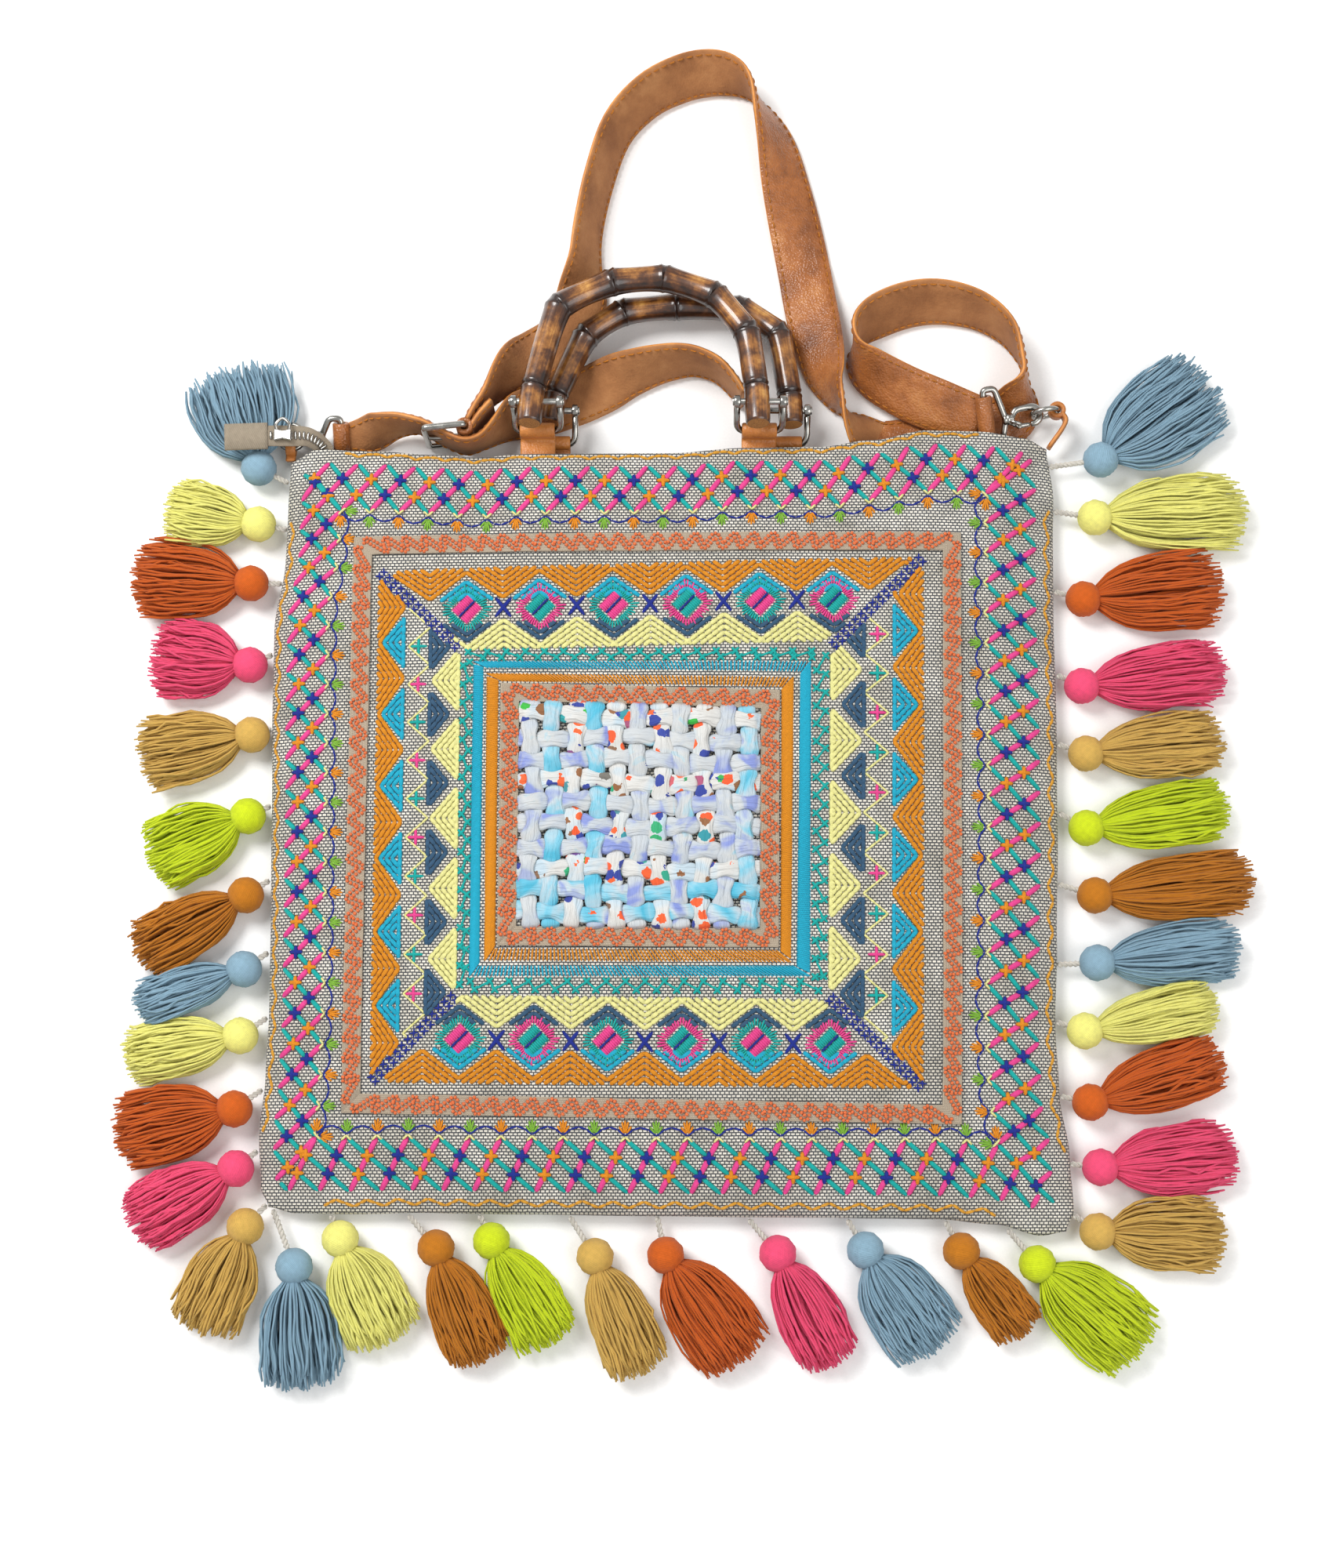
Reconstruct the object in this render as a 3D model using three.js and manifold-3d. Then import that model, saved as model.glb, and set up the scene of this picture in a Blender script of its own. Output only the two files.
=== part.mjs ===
// Embroidered canvas bag lying on its back, front face up. Millimetres, +Z up, mouth towards +Y.
// The origin is the middle of the flat back, on the floor.
import * as THREE from 'three';
import Module from 'manifold-3d';

const wasm = await Module();
wasm.setup();

// Sizes of the canvas pouch
const RIM_Z = 8;
const CROWN = 22;
const LIP_SHARE = 0.6;
const REAR_LIP_Z = 3.5;
const REAR_RISE = 18;
const WALL = 1.6;
const CELLS_ACROSS = 15;
const CELLS_UP = 13;
const GAP = 0.5;

// Outline of the pouch in plan: side seams by height, then bottom seam and mouth by width
const SIDES = [
  { y: -193, left: -198, right: 199 },
  { y: -183, left: -202, right: 203 },
  { y: -157, left: -203.5, right: 201.6 },
  { y: -126, left: -201, right: 197.2 },
  { y: -94, left: -200, right: 196 },
  { y: -54, left: -200.2, right: 197.8 },
  { y: 6, left: -201, right: 199.6 },
  { y: 67, left: -202, right: 200.3 },
  { y: 108, left: -202, right: 200 },
  { y: 147, left: -197, right: 200.6 },
  { y: 174, left: -196.3, right: 201.4 },
  { y: 199, left: -195.5, right: 198.5 },
];
const ENDS = [
  { x: -201, bottom: -187, front: 195.5, rear: 195.5 },
  { x: -187, bottom: -190, front: 201, rear: 199 },
  { x: -154, bottom: -190.5, front: 199, rear: 197 },
  { x: -125, bottom: -189.8, front: 196.8, rear: 195 },
  { x: -101, bottom: -190.2, front: 195.1, rear: 194 },
  { x: -77, bottom: -190.6, front: 196.8, rear: 195 },
  { x: 0, bottom: -191.5, front: 197.2, rear: 196 },
  { x: 40, bottom: -192, front: 200, rear: 197 },
  { x: 78, bottom: -192.2, front: 200.6, rear: 197 },
  { x: 107, bottom: -192.6, front: 204.4, rear: 191 },
  { x: 136, bottom: -193, front: 209.9, rear: 191 },
  { x: 165, bottom: -195.5, front: 210, rear: 194 },
  { x: 188, bottom: -201, front: 207.5, rear: 202 },
  { x: 200.5, bottom: -199, front: 203, rear: 203 },
];
// Soft dents pressed into the front: middle, reach and depth
const DENTS = [
  { x: -95, y: 172, reach: 34, depth: 2.2 },
  { x: 85, y: 168, reach: 30, depth: 1.6 },
  { x: 165, y: -120, reach: 36, depth: 2 },
  { x: -168, y: 60, reach: 38, depth: 1.8 },
];

// Sewn-on pieces of the front, by their outer corners in plan
const TRIM_WIDTH = 9.6;
const TRIM_THICK = 1;
const OUTER_TRIM = [[-161, -141], [146.5, -146.5], [151, 154], [-160, 152]];
const INNER_TRIM = [[-84, -58.5], [56, -59.5], [57.5, 71], [-83.5, 74.5]];
const PATCH = [[-73.2, -47.6], [45.2, -48.4], [46.2, 60.4], [-72.6, 63.6]];
const PATCH_COLUMNS = 11;
const PATCH_ROWS = 10;
const PATCH_VALLEY = 1.2;
const PATCH_CREST = 4.4;

// Bamboo handles: knots along each bow, x across and s out from the pin axis
const LEG_RADIUS = 6.3;
const KNOT_RADIUS = 7.5;
const STEM_RADIUS = 6.2;
const PIN_RADIUS = 1.8;
const PIN_PLAY = 0.35;
const PIN_BORE_HALF = 12;
const HANDLE_SIDES = 8;
const FRONT_HANDLE = {
  pinY: 219.1,
  pinZ: 39.5,
  droop: 10,
  knots: [
    { x: -69.6, s: -12.3, r: LEG_RADIUS },
    { x: -67.8, s: 8.6, r: LEG_RADIUS },
    { x: -55.5, s: 54.4, r: KNOT_RADIUS },
    { x: -28, s: 69.2, r: KNOT_RADIUS },
    { x: -1, s: 71.4, r: KNOT_RADIUS },
    { x: 25.4, s: 61.5, r: KNOT_RADIUS },
    { x: 41.6, s: 40, r: KNOT_RADIUS },
    { x: 46.2, s: 8.6, r: LEG_RADIUS },
    { x: 46.9, s: -12.5, r: LEG_RADIUS },
  ],
};
const REAR_HANDLE = {
  pinY: 220.9,
  pinZ: 18,
  droop: 6,
  knots: [
    { x: -60, s: -6.8, r: LEG_RADIUS },
    { x: -57, s: 9, r: LEG_RADIUS },
    { x: -42, s: 41.9, r: KNOT_RADIUS },
    { x: -22.4, s: 55.7, r: KNOT_RADIUS },
    { x: 5.5, s: 59, r: KNOT_RADIUS },
    { x: 39.2, s: 57.3, r: KNOT_RADIUS },
    { x: 58.4, s: 43.2, r: KNOT_RADIUS },
    { x: 64.2, s: 9, r: LEG_RADIUS },
    { x: 65, s: -8, r: LEG_RADIUS },
  ],
};

// Shackles and the leather tabs that hold them
const ROD = 1.7;
const EAR_RADIUS = 3.5;
const EAR_HALF = 1.7;
const BOW_HALF = 11.8;
const BOW_CORNER = 6;
const TAB_SKIN = 1.5;
const TAB_SIDES = 12;
const TAB_EASE = 0.3;
const TAB_START = 0.9;
const TAB_BEND = 3.4;
const TAB_PLAY = 0.4;
const TAB_SAG = 1.6;
const TAB_INSIDE_Y = 186;
const SHACKLES = [
  { name: 'front_shackle_left', tab: 'front_tab_left', x: -66.2, handle: FRONT_HANDLE, reach: 20, slope: 58,
    tabX: -66.4, tabHalf: 9, tabZ: 16.2 },
  { name: 'front_shackle_right', tab: 'front_tab_right', x: 48.2, handle: FRONT_HANDLE, reach: 20, slope: 58,
    tabX: 48.2, tabHalf: 9, tabZ: 16.2 },
  { name: 'rear_shackle_left', tab: 'rear_tab_left', x: -59, handle: REAR_HANDLE, reach: 18, slope: 27,
    tabX: -58.4, tabHalf: 8.6, tabZ: 8.7 },
  { name: 'rear_shackle_right', tab: 'rear_tab_right', x: 61.6, handle: REAR_HANDLE, reach: 18, slope: 27,
    tabX: 62.2, tabHalf: 8.6, tabZ: 8.7 },
];

// Leather strap sections: middle line in plan, lean of the upper edge to the left of travel, and lift
const STRAP_WIDTH = 28;
const STRAP_THICK = 2.6;
const LONG_STRAP = [
  { x: 163.5, y: 217, lean: -62, lift: 5.5, width: 25 },
  { x: 143, y: 224.5, lean: -62, lift: 5 },
  { x: 122.9, y: 233.5, lean: -58, lift: 4.5 },
  { x: 106.7, y: 243.6, lean: -42, lift: 2.5 },
  { x: 99, y: 254, lean: -12, lift: 0 },
  { x: 101, y: 264.5, lean: 18, lift: 0 },
  { x: 109.3, y: 273, lean: 36, lift: 0 },
  { x: 123.6, y: 279.5, lean: 40, lift: 0 },
  { x: 138, y: 282, lean: 38, lift: 0 },
  { x: 152.4, y: 280.4, lean: 32, lift: 0 },
  { x: 166.7, y: 275, lean: 22, lift: 0 },
  { x: 179, y: 264.5, lean: 8, lift: 0 },
  { x: 186, y: 250, lean: -8, lift: 0 },
  { x: 187.6, y: 239, lean: -14, lift: 0 },
  { x: 186, y: 230, lean: -50, lift: 0 },
  { x: 179.5, y: 221, lean: -84, lift: 0 },
  { x: 169, y: 215.5, lean: -90, lift: 0 },
  { x: 159, y: 212.5, lean: -91, lift: 0 },
  { x: 139, y: 209.5, lean: -94, lift: 0 },
  { x: 122, y: 207, lean: -100, lift: 0 },
  { x: 110, y: 207.5, lean: -106, lift: 0 },
  { x: 99, y: 216.5, lean: -142, lift: 0 },
  { x: 91, y: 225, lean: -180, lift: 0 },
  { x: 86, y: 234, lean: -200, lift: 0 },
  { x: 83, y: 244, lean: -222, lift: 0 },
  { x: 79.8, y: 262, lean: -246, lift: 0 },
  { x: 76.3, y: 283, lean: -262, lift: 0 },
  { x: 72.8, y: 305, lean: -270, lift: 0 },
  { x: 68.4, y: 327, lean: -278, lift: 0 },
  { x: 63.6, y: 349, lean: -292, lift: 0 },
  { x: 58.8, y: 371, lean: -310, lift: 0 },
  { x: 52.6, y: 387, lean: -332, lift: 0 },
  { x: 44.4, y: 400, lean: -360, lift: 0 },
  { x: 34, y: 407, lean: -385, lift: 0 },
  { x: 22.3, y: 409, lean: -396, lift: 0 },
  { x: 7.7, y: 405.8, lean: -398, lift: 0 },
  { x: -10.2, y: 395.7, lean: -394, lift: 0 },
  { x: -26, y: 377, lean: -390, lift: 0 },
  { x: -35.5, y: 349, lean: -388, lift: 0 },
  { x: -41, y: 322, lean: -388, lift: 0 },
  { x: -42.4, y: 303, lean: -396, lift: 0 },
  { x: -44, y: 288, lean: -426, lift: 0 },
  { x: -48, y: 274, lean: -448, lift: 0 },
  { x: -56, y: 264.5, lean: -450, lift: 0 },
  { x: -67, y: 256, lean: -440, lift: 0 },
  { x: -79, y: 245.5, lean: -402, lift: 2.5 },
  { x: -91, y: 230, lean: -368, lift: 4.7 },
  { x: -98.5, y: 220, lean: -360, lift: 4.7 },
  { x: -102.2, y: 212.6, lean: -360, lift: 4.7 },
];
const SHORT_STRAP = [
  { x: -166.5, y: 210, lean: 60, lift: 1.1, width: 15 },
  { x: -160, y: 210.5, lean: 52, lift: 0.8, width: 19 },
  { x: -151, y: 211, lean: 26, lift: 0, width: 28 },
  { x: -140, y: 213.5, lean: 10, lift: 2.5, width: 28 },
  { x: -130, y: 213, lean: 0, lift: 4.7, width: 28 },
  { x: -123.5, y: 210.8, lean: 0, lift: 4.7, width: 28 },
  { x: -113.5, y: 205.4, lean: 0, lift: 4.7, width: 28 },
  { x: -104, y: 201.8, lean: 0, lift: 4.7, width: 28 },
  { x: -95, y: 205, lean: 0, lift: 3.5, width: 28 },
  { x: -84, y: 214, lean: 20, lift: 0, width: 28 },
  { x: -71, y: 222.5, lean: 66, lift: 0, width: 28 },
  { x: -58, y: 228, lean: 84, lift: 0, width: 28 },
  { x: -46, y: 232.5, lean: 86, lift: 0, width: 28 },
  { x: -38, y: 236, lean: 82, lift: 0, width: 28 },
  { x: -30, y: 239, lean: 66, lift: 0, width: 28 },
  { x: -19, y: 243, lean: 44, lift: 0, width: 28 },
  { x: -5.5, y: 247, lean: 30, lift: 0, width: 28 },
  { x: 6, y: 249, lean: 22, lift: 0, width: 28 },
  { x: 16, y: 248.6, lean: 14, lift: 0, width: 28 },
  { x: 27, y: 244, lean: 8, lift: 0, width: 28 },
  { x: 35.5, y: 235, lean: 4, lift: 0, width: 28 },
  { x: 40, y: 228, lean: 2, lift: 0, width: 28 },
];
const EYE_OUT = 4.4;
const EYE_IN = 2.3;
const BAR = 1.7;
const BORE_PAST = 2;
const LEFT_EYE_HALF = 7.5;
const FOLD_LIFT = 4.7;

// Buckle frame standing on edge, with its prong
const BUCKLE = {
  left: -124, right: -103.5, leftY: 206.4, rightY: 208.6, bottom: 2.6, top: 35.4, prongZ: 19.2, corner: 1.8,
};
const PRONG_RADIUS = 1.2;
const PRONG_PLAY = 0.5;
const PRONG_PAST = 1;
const PRONG_ROOM = { right: 6, left: 4 };
const FOLDED_BACK = [
  { x: -101.5, y: 206.8 },
  { x: -96.4, y: 215 },
  { x: -90, y: 222.6 },
];

// Snap hooks: a bar for the strap, a barrel, and a crook for the ring
const RIGHT_HOOK = { x: 166.6, y: 215.8, z: 13.2, turn: 10, barLean: -62, barHalf: 17.2, crook: 4.6, reach: 24 };
const LEFT_HOOK = { x: -169.5, y: 209.9, z: 7.6, turn: 180, barLean: 60, barHalf: 9.8, crook: 3.4, reach: 19.5 };
const HOOK_ROD = 1.9;
const HOOK_LOOP = [[0, -1], [0, 1], [6, 1], [9.5, 0.5], [10.5, 0], [9.5, -0.5], [6, -1]];
const BARREL = { from: 9.5, to: 14.5, radius: 3.2 };
const CROOK_START = [[13.5, 0], [15.5, 0.7], [18, 1]];
const CROOK_TURNS = [90, 50, 10, -30, -70];
const CROOK_SHORT = 1;
const SHUT_GATE = { from: 13, bend: 15, share: 0.8, radius: 1.3 };
const GATE_EAR = { from: 11.5, drop: 1, to: 17.4, fromSide: 1.8, toSide: 2.9, radius: 0.9 };
const GATE = { pivot: 16.6, short: 1.5, radius: 1.25, pinHalf: 1.6, pinRadius: 1.5 };
const RING_ROD = 1.4;
const RING_POINTS = 10;
const RIGHT_RING = { radius: 7, tabAt: 6.6, tabHalf: 3.2 };
const LEFT_RING = { radius: 6.6, tabAt: 6.2, tabHalf: 2.6 };
const RING_TAB = { eyeOut: 3.9, eyeIn: 2.5, halfThick: 1.2 };
const RIGHT_TAB_END = { x: 199.3, y: 203.1, z: 10.5 };

// Zip tail: middle line of the tape that leaves the mouth, then its folded cloth end
const ZIP_RIGHT = 100;
const ZIP_TAPE_WIDTH = 9;
const ZIP_TAPE_THICK = 0.8;
const ZIP_CLEAR = 0.4;
const ZIP_JOINT = { radius: 1, inside: 0.9 };
const ZIP_TAIL = [
  { x: -168, y: 193.5, z: 9.4, half: 4.5, thick: 1.4 },
  { x: -176, y: 197, z: 9.4, half: 4.5, thick: 1.4 },
  { x: -178.5, y: 203.5, z: 10.6, half: 4.5, thick: 1.4 },
  { x: -185, y: 207, z: 16.4, half: 5, thick: 1.4 },
  { x: -192, y: 207, z: 19, half: 5.5, thick: 1.4 },
  { x: -205, y: 206.5, z: 21, half: 5.5, thick: 1.4 },
  { x: -207, y: 206.5, z: 21.2, half: 7, thick: 3 },
  { x: -228, y: 205.5, z: 21.8, half: 7, thick: 3 },
];
const SLIDER = { x: -198, y: 206.5, z: 22.6, long: 9, wide: 6.4, tall: 2.2 };
const PULL_ROD = 0.9;
const PULL_BEND = [
  { x: -3, y: 2.2, z: 0 },
  { x: -3.4, y: 5.5, z: 1.4 },
  { x: 0, y: 8.4, z: 1.4 },
  { x: 3.4, y: 5.5, z: 1.4 },
  { x: 3, y: 2.2, z: 0 },
];

// Tassels: wound head, heading and length of the skirt, half width at its end, cord start on the seam
const HEAD_RADIUS = 9.2;
const CORD_RADIUS = 1.7;
const CORD_GAP = 0.3;
const CORD_RISE = 0.6;
const CORD_SINK = 0.6;
const FLOOR_PLAY = 0.5;
const HEAD_RINGS = [-62, -8, 50];
const NECK_SHARE = 0.95;
const TASSEL_SIDES = 8;
const TASSELS = [
  { name: 'left_01_blue', x: -212, y: 192.5, heading: 106, length: 57, half: 25, cordX: -199, cordY: 186 },
  { name: 'left_02_yellow', x: -211.5, y: 162.5, heading: 170, length: 50, half: 15, cordX: -198, cordY: 160 },
  { name: 'left_03_rust', x: -214.5, y: 131, heading: 177, length: 62, half: 19, cordX: -200, cordY: 131 },
  { name: 'left_04_pink', x: -214, y: 88, heading: 174, length: 52, half: 18, cordX: -204, cordY: 93 },
  { name: 'left_05_mustard', x: -212, y: 51.5, heading: 190, length: 60, half: 17, cordX: -203.5, cordY: 54 },
  { name: 'left_06_lime', x: -213, y: 9.5, heading: 205, length: 56, half: 17, cordX: -203.5, cordY: 14 },
  { name: 'left_07_brown', x: -213, y: -31, heading: 209, length: 64, half: 14, cordX: -202.5, cordY: -24 },
  { name: 'left_08_blue', x: -213, y: -68.5, heading: 200, length: 58, half: 10.5, cordX: -202.5, cordY: -61 },
  { name: 'left_09_yellow', x: -214, y: -102, heading: 190, length: 60, half: 13, cordX: -202.5, cordY: -94 },
  { name: 'left_10_rust', x: -216, y: -138.5, heading: 193, length: 62, half: 17, cordX: -204, cordY: -130 },
  { name: 'left_11_pink', x: -214.5, y: -168, heading: 209, length: 60, half: 15, cordX: -205, cordY: -160 },
  { name: 'left_12_mustard', x: -209, y: -196.5, heading: 247, length: 57, half: 16, cordX: -201, cordY: -188 },
  { name: 'bottom_01_blue', x: -184.3, y: -216, heading: 275, length: 61, half: 18, cordX: -194, cordY: -192 },
  { name: 'bottom_02_yellow', x: -161.7, y: -202.5, heading: 296, length: 58, half: 17, cordX: -166, cordY: -192 },
  { name: 'bottom_03_brown', x: -114.1, y: -207, heading: 294, length: 62, half: 14, cordX: -127, cordY: -192 },
  { name: 'bottom_04_lime', x: -86.6, y: -203.5, heading: 301, length: 60, half: 15.5, cordX: -92, cordY: -192.4 },
  { name: 'bottom_05_mustard', x: -35.2, y: -211.2, heading: 292, length: 63, half: 14, cordX: -47, cordY: -193 },
  { name: 'bottom_06_rust', x: -0.2, y: -210.5, heading: 306, length: 66, half: 18, cordX: -4, cordY: -193.4 },
  { name: 'bottom_07_pink', x: 55.4, y: -209.7, heading: 297, length: 62, half: 14, cordX: 42, cordY: -194 },
  { name: 'bottom_08_blue', x: 98.9, y: -208, heading: 305, length: 61, half: 18, cordX: 91, cordY: -194.4 },
  { name: 'bottom_09_brown', x: 146.5, y: -208.5, heading: 307, length: 52, half: 12, cordX: 140, cordY: -196 },
  { name: 'bottom_10_lime', x: 184, y: -214.8, heading: 320, length: 68, half: 19, cordX: 172, cordY: -200.5 },
  { name: 'right_12_mustard', x: 214.5, y: -199, heading: -2, length: 64, half: 16, cordX: 204.4, cordY: -192 },
  { name: 'right_11_pink', x: 216.6, y: -167.4, heading: 6, length: 70, half: 15.5, cordX: 204, cordY: -166 },
  { name: 'right_10_rust', x: 212.4, y: -135.2, heading: 18, length: 72, half: 14, cordX: 201.4, cordY: -133 },
  { name: 'right_09_yellow', x: 210.6, y: -99.6, heading: 12, length: 70, half: 12, cordX: 199.4, cordY: -96 },
  { name: 'right_08_blue', x: 217.8, y: -65.3, heading: 6, length: 74, half: 14, cordX: 200.4, cordY: -66 },
  { name: 'right_07_brown', x: 217.5, y: -31.1, heading: 6, length: 82, half: 14.5, cordX: 201.2, cordY: -26 },
  { name: 'right_06_lime', x: 214, y: 3.4, heading: 9, length: 75, half: 14.5, cordX: 202.4, cordY: 10 },
  { name: 'right_05_mustard', x: 214.8, y: 41.8, heading: 6, length: 72, half: 14.5, cordX: 203, cordY: 46 },
  { name: 'right_04_pink', x: 213.6, y: 77, heading: 7, length: 76, half: 15, cordX: 203, cordY: 82 },
  { name: 'right_03_rust', x: 215.5, y: 122.7, heading: 6, length: 74, half: 18, cordX: 203.6, cordY: 126 },
  { name: 'right_02_yellow', x: 222.7, y: 166, heading: 2, length: 80, half: 18, cordX: 204.6, cordY: 169 },
  { name: 'right_01_blue', x: 226.4, y: 197, heading: 36, length: 74, half: 23, cordX: 204.6, cordY: 194 },
];
// Sections of a tassel: distance along as a share of the skirt, width share, thickness, depth of the locks
const SKIRT = [
  { at: 0, width: 0.2, thick: 4.2, lock: 0 },
  { at: 0.3, width: 0.72, thick: 8.6, lock: 0.1 },
  { at: 1, width: 1, thick: 6, lock: 0.3 },
];
const LOCK_STAGGER = 6;

// Colours by family
const COLOURS = {
  canvas: 0xa8a59c, trim: 0xc9a183, patch: 0xc9dbe4, bamboo: 0x7a5026, metal: 0xb9bcc0, leather: 0xa9683a,
  zip: 0x8d8378, blue: 0x7fa3ba, yellow: 0xf5ea55, rust: 0xb5480f, pink: 0xf0456f, mustard: 0xc79a3c,
  lime: 0xc4d61d, brown: 0xb86a14,
};

const V = (x, y, z) => new THREE.Vector3(x, y, z);
const rad = THREE.MathUtils.degToRad;
const lerp = THREE.MathUtils.lerp;

// Smooth reading of a table column
function read(rows, key, column, at) {
  let i = 0;
  while (i < rows.length - 2 && at > rows[i + 1][key]) i += 1;
  const a = rows[i];
  const b = rows[i + 1];
  const t = THREE.MathUtils.clamp((at - a[key]) / (b[key] - a[key]), 0, 1);
  return lerp(a[column], b[column], t * t * (3 - 2 * t));
}

// Closed solid from points and triangles, turned outwards if it came out inside out
function solid(points, triangles) {
  let volume = 0;
  for (const [a, b, c] of triangles) {
    volume += points[a].dot(V(0, 0, 0).crossVectors(points[b], points[c]));
  }
  const outward = volume > 0 ? triangles : triangles.map(([a, b, c]) => [a, c, b]);
  return new wasm.Manifold(new wasm.Mesh({
    numProp: 3,
    vertProperties: Float32Array.from(points.flatMap((p) => [p.x, p.y, p.z])),
    triVerts: Uint32Array.from(outward.flat()),
  }));
}

// Skin over equal rings, with flat ends or closed on itself
function loft(rings, closed = false) {
  const n = rings[0].length;
  const points = rings.flat();
  const triangles = [];
  const spans = closed ? rings.length : rings.length - 1;
  for (let i = 0; i < spans; i += 1) {
    const a = i * n;
    const b = ((i + 1) % rings.length) * n;
    for (let j = 0; j < n; j += 1) {
      const k = (j + 1) % n;
      triangles.push([a + j, a + k, b + k], [a + j, b + k, b + j]);
    }
  }
  if (!closed) {
    const last = (rings.length - 1) * n;
    for (let j = 1; j < n - 1; j += 1) {
      triangles.push([0, j + 1, j], [last, last + j, last + j + 1]);
    }
  }
  return solid(points, triangles);
}

// Round rod along a line of points; the ring turns as little as it can from one point to the next
function rod(points, radius, sides = 8, closed = false) {
  const rings = [];
  let side = null;
  points.forEach((p, i) => {
    const before = points[closed ? (i + points.length - 1) % points.length : Math.max(i - 1, 0)];
    const after = points[closed ? (i + 1) % points.length : Math.min(i + 1, points.length - 1)];
    const along = after.clone().sub(before).normalize();
    if (!side) side = Math.abs(along.z) < 0.9 ? V(0, 0, 1) : V(1, 0, 0);
    side = side.clone().addScaledVector(along, -side.dot(along)).normalize();
    const other = V(0, 0, 0).crossVectors(along, side);
    const r = Array.isArray(radius) ? radius[i] : radius;
    rings.push(Array.from({ length: sides }, (_, k) => {
      const t = ((k + 0.5) / sides) * Math.PI * 2;
      return p.clone().addScaledVector(side, r * Math.cos(t)).addScaledVector(other, r * Math.sin(t));
    }));
  });
  return loft(rings, closed);
}

// Tube with a bore, for a leather fold round a bar
function eye(middle, axis, half, outer, inner) {
  const from = middle.clone().addScaledVector(axis, -half);
  const to = middle.clone().addScaledVector(axis, half);
  const boreFrom = middle.clone().addScaledVector(axis, -half - BORE_PAST);
  const boreTo = middle.clone().addScaledVector(axis, half + BORE_PAST);
  return { skin: rod([from, to], outer, 8), bore: rod([boreFrom, boreTo], inner, 8) };
}

// Pouch surface: plan position and height of the front and the back
function plan(u, v, edge) {
  const y = lerp(SIDES[0].y, SIDES[SIDES.length - 1].y, v);
  const x = lerp(ENDS[0].x, ENDS[ENDS.length - 1].x, u);
  return {
    x: lerp(read(SIDES, 'y', 'left', y), read(SIDES, 'y', 'right', y), u),
    y: lerp(read(ENDS, 'x', 'bottom', x), read(ENDS, 'x', edge, x), v),
  };
}
const puff = (t) => Math.pow(Math.max(0, 1 - Math.pow(Math.abs(2 * t - 1), 3.5)), 0.55);
function frontHeight(u, v, p) {
  const up = v < 0.5 ? puff(v) : 1 - (1 - LIP_SHARE) * Math.pow(2 * v - 1, 5);
  let z = RIM_Z + CROWN * puff(u) * up;
  for (const d of DENTS) {
    const far = Math.hypot(p.x - d.x, p.y - d.y) / d.reach;
    z -= d.depth * Math.exp(-far * far * 2) * puff(u) * Math.min(up, 1);
  }
  return z;
}
function backHeight(u, v) {
  const inset = Math.min(u * 401, (1 - u) * 401, v * 392);
  const rim = RIM_Z * Math.pow(Math.max(0, 1 - inset / REAR_RISE), 2);
  const lip = REAR_LIP_Z * Math.pow(Math.max(0, 1 - ((1 - v) * 392) / 14), 2);
  return Math.max(rim, lip);
}
const spread = (i, n) => 0.65 * (0.5 - 0.5 * Math.cos((Math.PI * i) / n)) + (0.35 * i) / n;

// Outer skin of the pouch as two grids that share the side and bottom seams
function pouchGrids() {
  const points = [];
  const front = [];
  const back = [];
  for (let i = 0; i <= CELLS_ACROSS; i += 1) {
    front.push([]);
    back.push([]);
    for (let j = 0; j <= CELLS_UP; j += 1) {
      const u = spread(i, CELLS_ACROSS);
      const v = spread(j, CELLS_UP);
      const f = plan(u, v, 'front');
      front[i].push(points.length);
      points.push(V(f.x, f.y, frontHeight(u, v, f)));
      if (i === 0 || i === CELLS_ACROSS || j === 0) {
        back[i].push(front[i][j]);
      } else {
        const b = plan(u, v, 'rear');
        back[i].push(points.length);
        points.push(V(b.x, b.y, backHeight(u, v)));
      }
    }
  }
  const triangles = [];
  for (let i = 0; i < CELLS_ACROSS; i += 1) {
    for (let j = 0; j < CELLS_UP; j += 1) {
      for (const [grid, flip] of [[front, false], [back, true]]) {
        const [a, b, c, d] = [grid[i][j], grid[i + 1][j], grid[i + 1][j + 1], grid[i][j + 1]];
        const pair = (i < CELLS_ACROSS / 2) === (j < CELLS_UP / 2)
          ? [[a, b, c], [a, c, d]] : [[a, b, d], [b, c, d]];
        for (const t of pair) {
          if (t[0] !== t[1] && t[1] !== t[2] && t[0] !== t[2]) triangles.push(flip ? [t[0], t[2], t[1]] : t);
        }
      }
    }
  }
  return { points, front, back, triangles };
}
const POUCH = pouchGrids();

// Inward shift of each outer point by the wall
function innerPoints() {
  const normals = POUCH.points.map(() => V(0, 0, 0));
  for (const [a, b, c] of POUCH.triangles) {
    const n = V(0, 0, 0).crossVectors(
      POUCH.points[b].clone().sub(POUCH.points[a]),
      POUCH.points[c].clone().sub(POUCH.points[a]),
    );
    [a, b, c].forEach((k) => normals[k].add(n));
  }
  return POUCH.points.map((p, i) => p.clone().addScaledVector(normals[i].normalize(), -WALL));
}
const INNER = innerPoints();

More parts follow.
